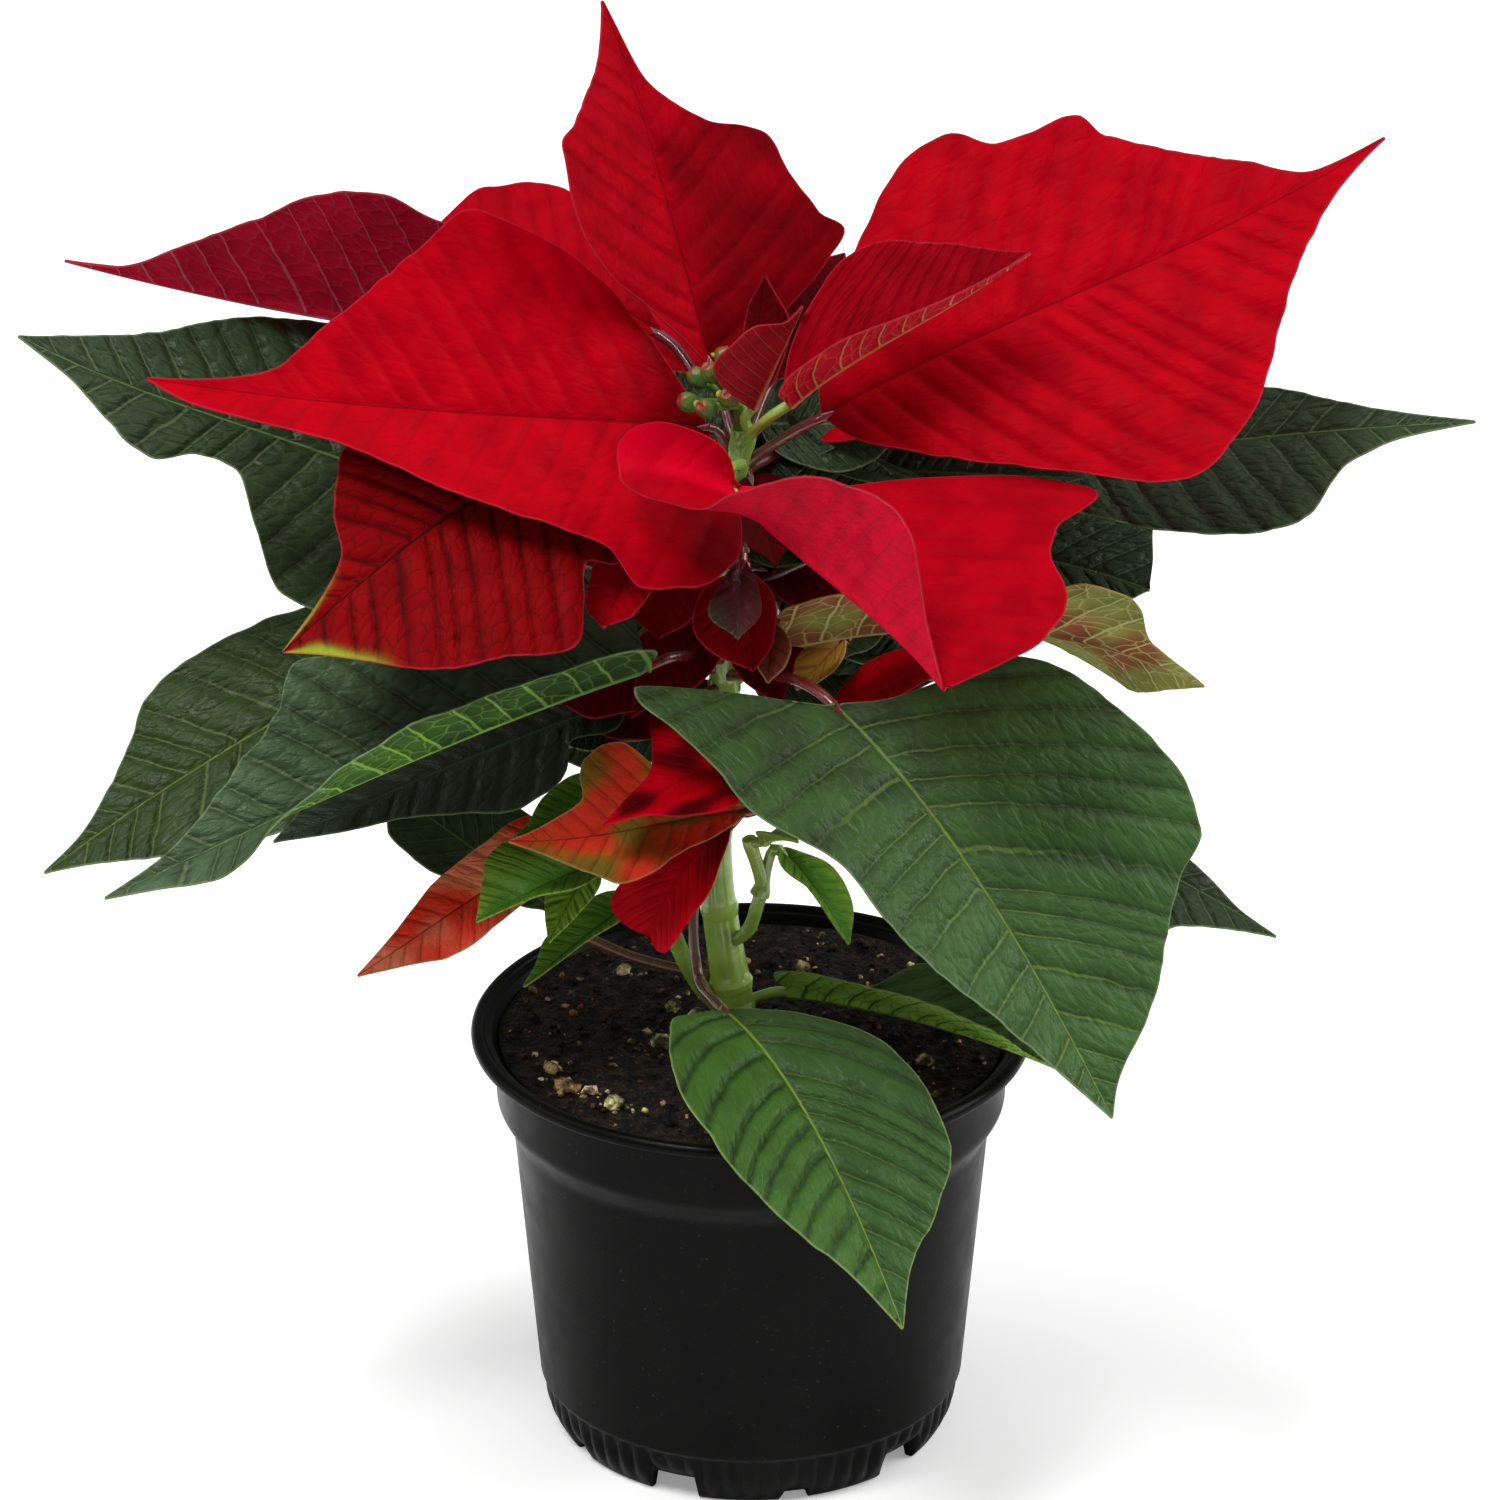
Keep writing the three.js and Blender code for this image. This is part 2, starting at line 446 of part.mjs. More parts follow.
    rise: -20, bend: [18, -12], side: [0, 0], roll: [0], foldLeft: [12, 10, 5], foldRight: [12, 10, 5],
    left: halfOutline(SMOOTH_HALF, 38), right: halfOutline(SMOOTH_HALF, 38),
  },
  {
    name: 'leaf_back_left', colour: 'leaf_green', from: 198, base: [-24, 29, 208], length: 94, azimuth: 124,
    rise: -18, bend: [18, -12], side: [0, 0], roll: [-6], foldLeft: [12, 10, 5], foldRight: [12, 10, 5],
    left: halfOutline(SMOOTH_HALF, 38), right: halfOutline(SMOOTH_HALF, 38),
  },
];

// ---------------------------------------------------------------- solids

const radians = THREE.MathUtils.degToRad;
const vector = ([x, y, z]) => new THREE.Vector3(x, y, z);

// A closed three.js geometry as a solid that can be joined and cut.
function solidFrom(geometry) {
  const bare = geometry.clone();
  bare.deleteAttribute('normal');
  bare.deleteAttribute('uv');
  const merged = mergeVertices(bare, WELD);
  return new wasm.Manifold(
    new wasm.Mesh({
      numProp: 3,
      vertProperties: new Float32Array(merged.attributes.position.array),
      triVerts: new Uint32Array(merged.index.array),
    }),
  );
}

function geometryFrom(solid) {
  const { vertProperties, triVerts } = solid.getMesh();
  const geometry = new THREE.BufferGeometry();
  geometry.setAttribute('position', new THREE.BufferAttribute(vertProperties, 3));
  geometry.setIndex(new THREE.BufferAttribute(triVerts, 1));
  geometry.computeVertexNormals();
  return geometry;
}

const joined = (geometries) => geometries.map(solidFrom).reduce((whole, solid) => whole.add(solid));

// A turned shape about the z axis, from [radius, height] points that start and end on the axis.
function turned(profile, sides) {
  const points = profile.map(([radius, height]) => new THREE.Vector2(radius, height));
  return new THREE.LatheGeometry(points, sides).rotateX(Math.PI / 2);
}

// A rod along a curve. thickness gives the share of the radius at each share of the length.
function rod(curve, radius, sides, steps, thickness = () => 1) {
  const section = new THREE.Shape();
  section.absarc(0, 0, radius, 0, 2 * Math.PI);
  const geometry = new THREE.ExtrudeGeometry(section, {
    curveSegments: sides / 2,
    steps,
    extrudePath: curve,
    bevelEnabled: false,
  });
  const centres = curve.getSpacedPoints(steps);
  const { position } = geometry.attributes;
  const point = new THREE.Vector3();
  for (let i = 0; i < position.count; i += 1) {
    point.fromBufferAttribute(position, i);
    const distances = centres.map((centre) => centre.distanceToSquared(point));
    const nearest = distances.indexOf(Math.min(...distances));
    point.lerpVectors(centres[nearest], point, thickness(nearest / steps));
    position.setXYZ(i, point.x, point.y, point.z);
  }
  return geometry;
}

// A smooth curve through equally spaced values, read at a share of its length.
function through(values, share) {
  const last = values.length - 1;
  if (last === 0) return values[0];
  const i = Math.min(Math.floor(share * last), last - 1);
  const r = share * last - i;
  const [b, c] = [values[i], values[i + 1]];
  const a = i > 0 ? values[i - 1] : 2 * b - c;
  const d = i + 2 <= last ? values[i + 2] : 2 * c - b;
  const slope = c - a;
  const bow = 2 * a - 5 * b + 4 * c - d;
  const twist = 3 * b - a - 3 * c + d;
  return b + (slope * r + bow * r ** 2 + twist * r ** 3) / 2;
}

// ---------------------------------------------------------------- pot

function notches({ count, first, width, height }) {
  const across = POT.footRadius * 2 * Math.tan(radians(width / 2));
  return Array.from({ length: count }, (_, k) => {
    const box = new THREE.BoxGeometry(across, NOTCH_REACH, 2 * height);
    box.translate(0, -POT.footRadius, 0);
    return box.rotateZ(radians(first + (360 / count) * k));
  });
}

function potGeometry() {
  const p = POT;
  const lipBottom = p.height - p.lipThickness;
  const floorTop = p.floorBottom + p.floorThickness;
  const shell = turned([
    [0, p.floorBottom],
    [p.footRadius - p.footWidth, p.floorBottom],
    [p.footRadius - p.footWidth, 0],
    [p.footRadius, 0],
    [p.footRadius + p.bulge, p.footEdge],
    [(p.footRadius + p.bodyBottomRadius) / 2 + p.bulge, p.bodyBottom / 2],
    [p.bodyBottomRadius, p.bodyBottom],
    [p.bodyTopRadius, p.bodyTop],
    [p.bandRadius, p.bandBottom],
    [p.bandRadius, lipBottom],
    [p.rimRadius, lipBottom],
    [p.rimRadius, p.height],
    [p.lipMouthRadius, p.height],
    [p.bandRadius - p.wall, lipBottom],
    [p.bandRadius - p.wall, p.bandBottom + p.wall / 2],
    [p.bodyTopRadius - p.wall, p.bodyTop + p.wall / 2],
    [p.bodyBottomRadius - p.wall, p.bodyBottom],
    [p.footRadius, floorTop],
    [0, floorTop],
  ], p.sides);
  const cutters = [...notches(DEEP_NOTCH), ...notches(SHALLOW_NOTCH)];
  return geometryFrom(solidFrom(shell).subtract(joined(cutters)));
}

// ---------------------------------------------------------------- soil

function soilGeometry() {
  const p = POT;
  const floor = p.floorBottom + p.floorThickness + GAP;
  const bandInside = p.bandRadius - p.wall - GAP;
  const bodyInside = p.bodyTopRadius - p.wall - GAP;
  const surface = Array.from({ length: SOIL.rings + 1 }, (_, k) => {
    const share = 1 - k / SOIL.rings;
    return [bandInside * share, SOIL.edgeHeight + SOIL.heap * (1 - share ** 2)];
  });
  const block = turned([
    [0, floor],
    [p.footRadius - 2 * GAP, floor],
    [p.bodyBottomRadius - p.wall - GAP, p.bodyBottom],
    [bodyInside, p.bodyTop + p.wall / 2 + GAP],
    [bandInside, p.bandBottom + p.wall / 2 + GAP],
    ...surface,
  ], SOIL.sides);
  const { position } = block.attributes;
  const [spanX, spanY, spanBoth] = SOIL.lumpSpans;
  for (let i = 0; i < position.count; i += 1) {
    const [x, y, z] = [position.getX(i), position.getY(i), position.getZ(i)];
    const lump = Math.sin(x / spanX) * Math.cos(y / spanY) + Math.sin((x + y) / spanBoth) / 2;
    const inwards = 1 - Math.hypot(x, y) / bandInside;
    if (z >= SOIL.edgeHeight && inwards > SOIL.flatEdge) position.setZ(i, z + SOIL.lumps * lump);
  }
  const [x, y, bottom] = STEM.route[0];
  const depth = p.height;
  const hole = new THREE.CylinderGeometry(STEM.radii[0] + GAP, STEM.radii[0] + GAP, depth, STEM.sides * 2);
  hole.rotateX(Math.PI / 2).translate(x, y, bottom - GAP + depth / 2);
  return geometryFrom(solidFrom(block).subtract(solidFrom(hole)));
}

// ---------------------------------------------------------------- blades

// The frame of a leaf: its heading, the direction to its right and the one its upper face looks in.
function directions({ azimuth, rise }) {
  const [a, r] = [radians(azimuth), radians(rise)];
  const ahead = new THREE.Vector3(Math.cos(r) * Math.cos(a), Math.cos(r) * Math.sin(a), Math.sin(r));
  const right = new THREE.Vector3(Math.sin(a), -Math.cos(a), 0);
  const up = new THREE.Vector3().crossVectors(right, ahead);
  return { ahead, right, up };
}

function midrib(leaf) {
  const { ahead, right, up } = directions(leaf);
  const base = vector(leaf.base);
  const tip = base.clone().addScaledVector(ahead, leaf.length);
  const [first, last] = [0, 1].map((end) => ahead.clone()
    .addScaledVector(up, Math.tan(radians(leaf.bend[end])))
    .addScaledVector(right, Math.tan(radians(leaf.side[end])))
    .setLength(leaf.length / 3));
  return new THREE.CubicBezierCurve3(base, base.clone().add(first), tip.clone().sub(last), tip);
}

function halfWidth(margin, station) {
  const points = [[0, BLADE.baseHalfWidth], ...margin, [1, BLADE.tipHalfWidth]];
  const next = Math.max(1, points.findIndex(([at]) => at >= station));
  const [[u0, w0], [u1, w1]] = [points[next - 1], points[next]];
  return Math.max(BLADE.tipHalfWidth, THREE.MathUtils.mapLinear(station, u0, u1, w0, w1));
}

// A point of the blade, v from -1 on the left margin to 1 on the right one.
function bladePoint(leaf, rib, station, v) {
  const { right, up } = directions(leaf);
  const along = rib.getTangent(station);
  const roll = radians(through(leaf.roll, station));
  const across = right.multiplyScalar(Math.cos(roll)).addScaledVector(up, -Math.sin(roll));
  across.addScaledVector(along, -across.dot(along)).normalize();
  const face = new THREE.Vector3().crossVectors(across, along);
  const half = v < 0
    ? { margin: leaf.left, fold: leaf.foldLeft, curl: leaf.curlLeft, sweep: leaf.sweepLeft }
    : { margin: leaf.right, fold: leaf.foldRight, curl: leaf.curlRight, sweep: leaf.sweepRight };
  const share = Math.abs(v);
  const width = halfWidth(half.margin, station);
  const fold = radians(through(half.fold, station));
  const curl = radians(through(half.curl ?? [0], station)) || BLADE.leastCurl;
  const sweep = Math.tan(radians(through(half.sweep ?? USUAL_SWEEP, station)));
  const out = (width * (Math.sin(fold + curl * share) - Math.sin(fold))) / curl;
  const lift = (width * (Math.cos(fold) - Math.cos(fold + curl * share))) / curl;
  return rib.getPoint(station)
    .addScaledVector(across, Math.sign(v) * out)
    .addScaledVector(face, lift)
    .addScaledVector(along, (width - BLADE.baseHalfWidth) * share * sweep);
}

// The stations at which a blade gets a row of points: those of both margins, and more in long gaps.
function stations(leaf) {
  const marks = [0, ...[...leaf.left, ...leaf.right].map(([u]) => u), 1].sort((a, b) => a - b);
  const apart = marks.filter((u, i) => i === 0 || u - marks[i - 1] > BLADE.shortestStep);
  return apart.flatMap((u, i) => {
    if (i === 0) return [u];
    const parts = Math.ceil((u - apart[i - 1]) / BLADE.longestStep);
    return Array.from({ length: parts }, (_, k) => THREE.MathUtils.lerp(apart[i - 1], u, (k + 1) / parts));
  });
}

// A thin solid on both sides of a grid of points, with the same triangles on its two faces.
function sheet(grid, thickness) {
  const [rows, columns] = [grid.length, grid[0].length];
  const at = (i, j) => i * columns + j;
  const face = [];
  for (let i = 0; i + 1 < rows; i += 1) {
    for (let j = 0; j + 1 < columns; j += 1) {
      face.push([at(i, j), at(i, j + 1), at(i + 1, j + 1)], [at(i, j), at(i + 1, j + 1), at(i + 1, j)]);
    }
  }
  const points = grid.flat();
  const middle = new THREE.BufferGeometry().setFromPoints(points);
  middle.setIndex(face.flat());
  middle.computeVertexNormals();
  const { normal } = middle.attributes;
  const shifted = (side) => points.map((point, i) => point.clone()
    .addScaledVector(new THREE.Vector3().fromBufferAttribute(normal, i), (side * thickness) / 2));
  const rim = [
    ...Array.from({ length: columns }, (_, j) => at(0, j)),
    ...Array.from({ length: rows - 2 }, (_, i) => at(i + 1, columns - 1)),
    ...Array.from({ length: columns }, (_, j) => at(rows - 1, columns - 1 - j)),
    ...Array.from({ length: rows - 2 }, (_, i) => at(rows - 2 - i, 0)),
  ];
  const under = points.length;
  const edge = rim.flatMap((a, i) => {
    const b = rim[(i + 1) % rim.length];
    return [[b, a, a + under], [b, a + under, b + under]];
  });
  const solid = new THREE.BufferGeometry().setFromPoints([...shifted(1), ...shifted(-1)]);
  solid.setIndex([...face, ...face.map(([a, b, c]) => [a + under, c + under, b + under]), ...edge].flat());
  solid.computeVertexNormals();
  return solid;
}

function bladeGeometry(leaf) {
  const rib = midrib(leaf);
  const shares = leaf.curlLeft || leaf.curlRight ? [-1, -0.5, 0, 0.5, 1] : [-1, 0, 1];
  const rows = stations(leaf).map((station) => shares.map((v) => bladePoint(leaf, rib, station, v)));
  return sheet(rows, BLADE.thickness);
}

// ---------------------------------------------------------------- stem with its stalks

const stemCurve = new THREE.CatmullRomCurve3(STEM.route.map(vector));

function stemCentre(height) {
  const above = Math.max(1, STEM.route.findIndex(([, , z]) => z >= height));
  const [low, high] = [vector(STEM.route[above - 1]), vector(STEM.route[above])];
  return low.lerp(high, (height - low.z) / (high.z - low.z));
}

// A stalk leaves the stem towards its blade, and ends square to the blade's base, just short of it.
function stalk(leaf) {
  const along = midrib(leaf).getTangent(0);
  const start = Array.isArray(leaf.from) ? vector(leaf.from) : stemCentre(leaf.from);
  const end = vector(leaf.base).addScaledVector(along, -STALK.gap);
  if (leaf.via) {
    const neck = end.clone().addScaledVector(along, -STALK.neck);
    return new THREE.CatmullRomCurve3([start, ...leaf.via.map(vector), neck, end]);
  }
  const third = start.distanceTo(end) / 3;
  const leave = end.clone().sub(start).setLength(third);
  const arrive = end.clone().addScaledVector(along, -third);
  return new THREE.CubicBezierCurve3(start, start.clone().add(leave), arrive, end);
}

function stemGeometry() {
  const thickness = (share) => through(STEM.radii, share) / STEM.radii[0];
  return geometryFrom(joined([
    rod(stemCurve, STEM.radii[0], STEM.sides, STEM.steps, thickness),
    ...SHOOTS.map(({ route, radius }) => rod(
      new THREE.CatmullRomCurve3(route.map(vector)), radius, SHOOT.sides, SHOOT.steps)),
    ...LEAVES.map(stalk).map((curve) => rod(
      curve, STALK.radius, STALK.sides, Math.max(2, Math.round(curve.getLength() / STALK.stepLength)))),
  ]));
}

function cyathiaGeometry() {
  const foot = vector(CYATHIA.foot);
  const [x, y, z] = STEM.route.at(-1);
  const below = new THREE.Vector3(x, y, z + GAP);
  const buds = CYATHIA.buds.map((place) => {
    const bud = new THREE.SphereGeometry(CYATHIA.budRadius, CYATHIA.budSides, CYATHIA.budSides - 1);
    bud.rotateX(Math.PI / 2);
    return bud.scale(1, 1, CYATHIA.budHeight / CYATHIA.budRadius / 2).translate(...place);
  });
  const stalks = CYATHIA.buds.map((place) => (
    rod(new THREE.LineCurve3(foot, vector(place)), CYATHIA.stalkRadius, CYATHIA.budSides, 1)));
  const shared = rod(new THREE.LineCurve3(below, foot), CYATHIA.stemRadius, CYATHIA.stemSides, 1);
  return geometryFrom(joined([shared, ...stalks, ...buds]));
}

// ---------------------------------------------------------------- the plant

function piece(name, geometry, colour, roughness) {
  const material = new THREE.MeshStandardMaterial({ color: COLOURS[colour], roughness, metalness: 0 });
  const mesh = new THREE.Mesh(geometry, material);
  mesh.name = name;
  return mesh;
}

const poinsettia = new THREE.Group();
poinsettia.add(
  piece('pot', potGeometry(), 'pot_black', ROUGHNESS.pot),
  piece('soil', soilGeometry(), 'soil', ROUGHNESS.soil),
  piece('stem', stemGeometry(), 'stem_green', ROUGHNESS.stem),
  piece('cyathia', cyathiaGeometry(), 'cyathium', ROUGHNESS.stem),
  ...LEAVES.map((leaf) => piece(leaf.name, bladeGeometry(leaf), leaf.colour, ROUGHNESS.blade)),
);

export default poinsettia;
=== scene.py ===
"""The looks of a poinsettia in a black nursery pot, laid out as a Blender add-on.

The tables are in millimetres and degrees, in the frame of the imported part: +Z up, the pot's axis on the
z axis, -Y to the front. Azimuths turn from +X towards +Y. The meshes are in metres, in the same frame.
"""

import math
import random
from dataclasses import dataclass

import bmesh
import bpy
import numpy as np
from mathutils import Matrix, Vector, noise


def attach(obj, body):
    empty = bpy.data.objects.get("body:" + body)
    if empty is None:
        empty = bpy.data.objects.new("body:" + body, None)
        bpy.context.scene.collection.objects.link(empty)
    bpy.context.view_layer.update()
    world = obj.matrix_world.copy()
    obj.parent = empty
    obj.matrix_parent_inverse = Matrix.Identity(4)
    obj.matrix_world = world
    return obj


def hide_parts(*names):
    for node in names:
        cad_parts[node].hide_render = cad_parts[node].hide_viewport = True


bl_info = {
    "name": "Potted Poinsettia",
    "version": (1, 0, 0),
    "blender": (4, 5, 0),
    "location": "3D View > Sidebar > Poinsettia",
    "description": "Builds the leaves, stem, flower buds, soil and pot of a poinsettia",
    "category": "Add Mesh",
}

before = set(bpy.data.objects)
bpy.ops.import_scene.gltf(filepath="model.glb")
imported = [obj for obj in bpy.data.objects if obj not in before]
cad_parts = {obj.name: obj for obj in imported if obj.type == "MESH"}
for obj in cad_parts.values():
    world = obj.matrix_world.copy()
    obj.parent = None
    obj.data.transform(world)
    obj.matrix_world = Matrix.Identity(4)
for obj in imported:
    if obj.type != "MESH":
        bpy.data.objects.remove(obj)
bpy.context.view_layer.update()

MM = 0.001
MERGED = 1e-6  # metres within which two vertices are one
BODY = "root"

# ---------------- the leaves

USUAL_SWEEP = (-20, 10, 25, 20)  # how far a margin runs forward of its row, from base to tip

# Half outlines of the leaves behind the plant: (station along the midrib, share of the half width).
SMOOTH_HALF = ((0.05, 0.42), (0.18, 0.82), (0.34, 1), (0.5, 0.88), (0.66, 0.6), (0.82, 0.28))
TOOTHED_HALF = ((0.05, 0.4), (0.16, 0.78), (0.3, 0.92), (0.4, 1.12), (0.48, 0.82), (0.62, 0.62), (0.84, 0.24))


def half_outline(outline, half_width):
    """A margin's (station, half width) pairs, from shares of one half width."""
    return tuple((station, share * half_width) for station, share in outline)


@dataclass(frozen=True)
class Turn:
    """Where a leaf turns to a second paint: towards the tip, the margin or the right, or in patches."""

    paint: str
    tip: float = 0.0
    margin: float = 0.0
    side: float = 0.0
    patches: float = 0.0
    lean: float = 0.0  # how far the whole blade leans towards the second paint


@dataclass(frozen=True)
class Leaf:
    """A blade and its stalk. The margins are (station along the midrib, half width) pairs.

    Angles in a tuple are spread evenly along the midrib, from its base to its tip.
    """

    name: str
    slot: str
    start: object  # where the stalk leaves the stem: a height, or a point on a side shoot
    base: tuple
    length: float  # from the base straight to the tip
    azimuth: float
    rise: float
    left: tuple
    right: tuple
    paint: str
    turn: Turn = None
    stalk: str = "red stalk"
    via: tuple = ()  # points that the stalk passes
    bend: tuple = (0, 0)  # how far up the midrib heads at its base and at its tip
    side: tuple = (0, 0)  # and how far to the right
    roll: tuple | float = 0  # how far the whole blade turns down to its right
    fold_left: tuple | float = 0  # how far a half stands up at the midrib
    fold_right: tuple | float = 0
    curl_left: tuple | float = 0  # how much further it has turned up at the margin
    curl_right: tuple | float = 0
    sweep_left: tuple = USUAL_SWEEP
    sweep_right: tuple = USUAL_SWEEP
    lobe: tuple = (0, 0)  # how much further forward and up the right half's very first rows run
    lean_left: tuple = (0.42, 0.9)  # how far side veins run forward for each step outwards, at base and tip
    lean_right: tuple = (0.42, 0.9)
    bow: float = 0.35  # how strongly the side veins arch towards the tip
    quilt: float = 0.5  # height of the swellings between the side veins
    ruffle: float = 0.6  # height of the waves in the margin


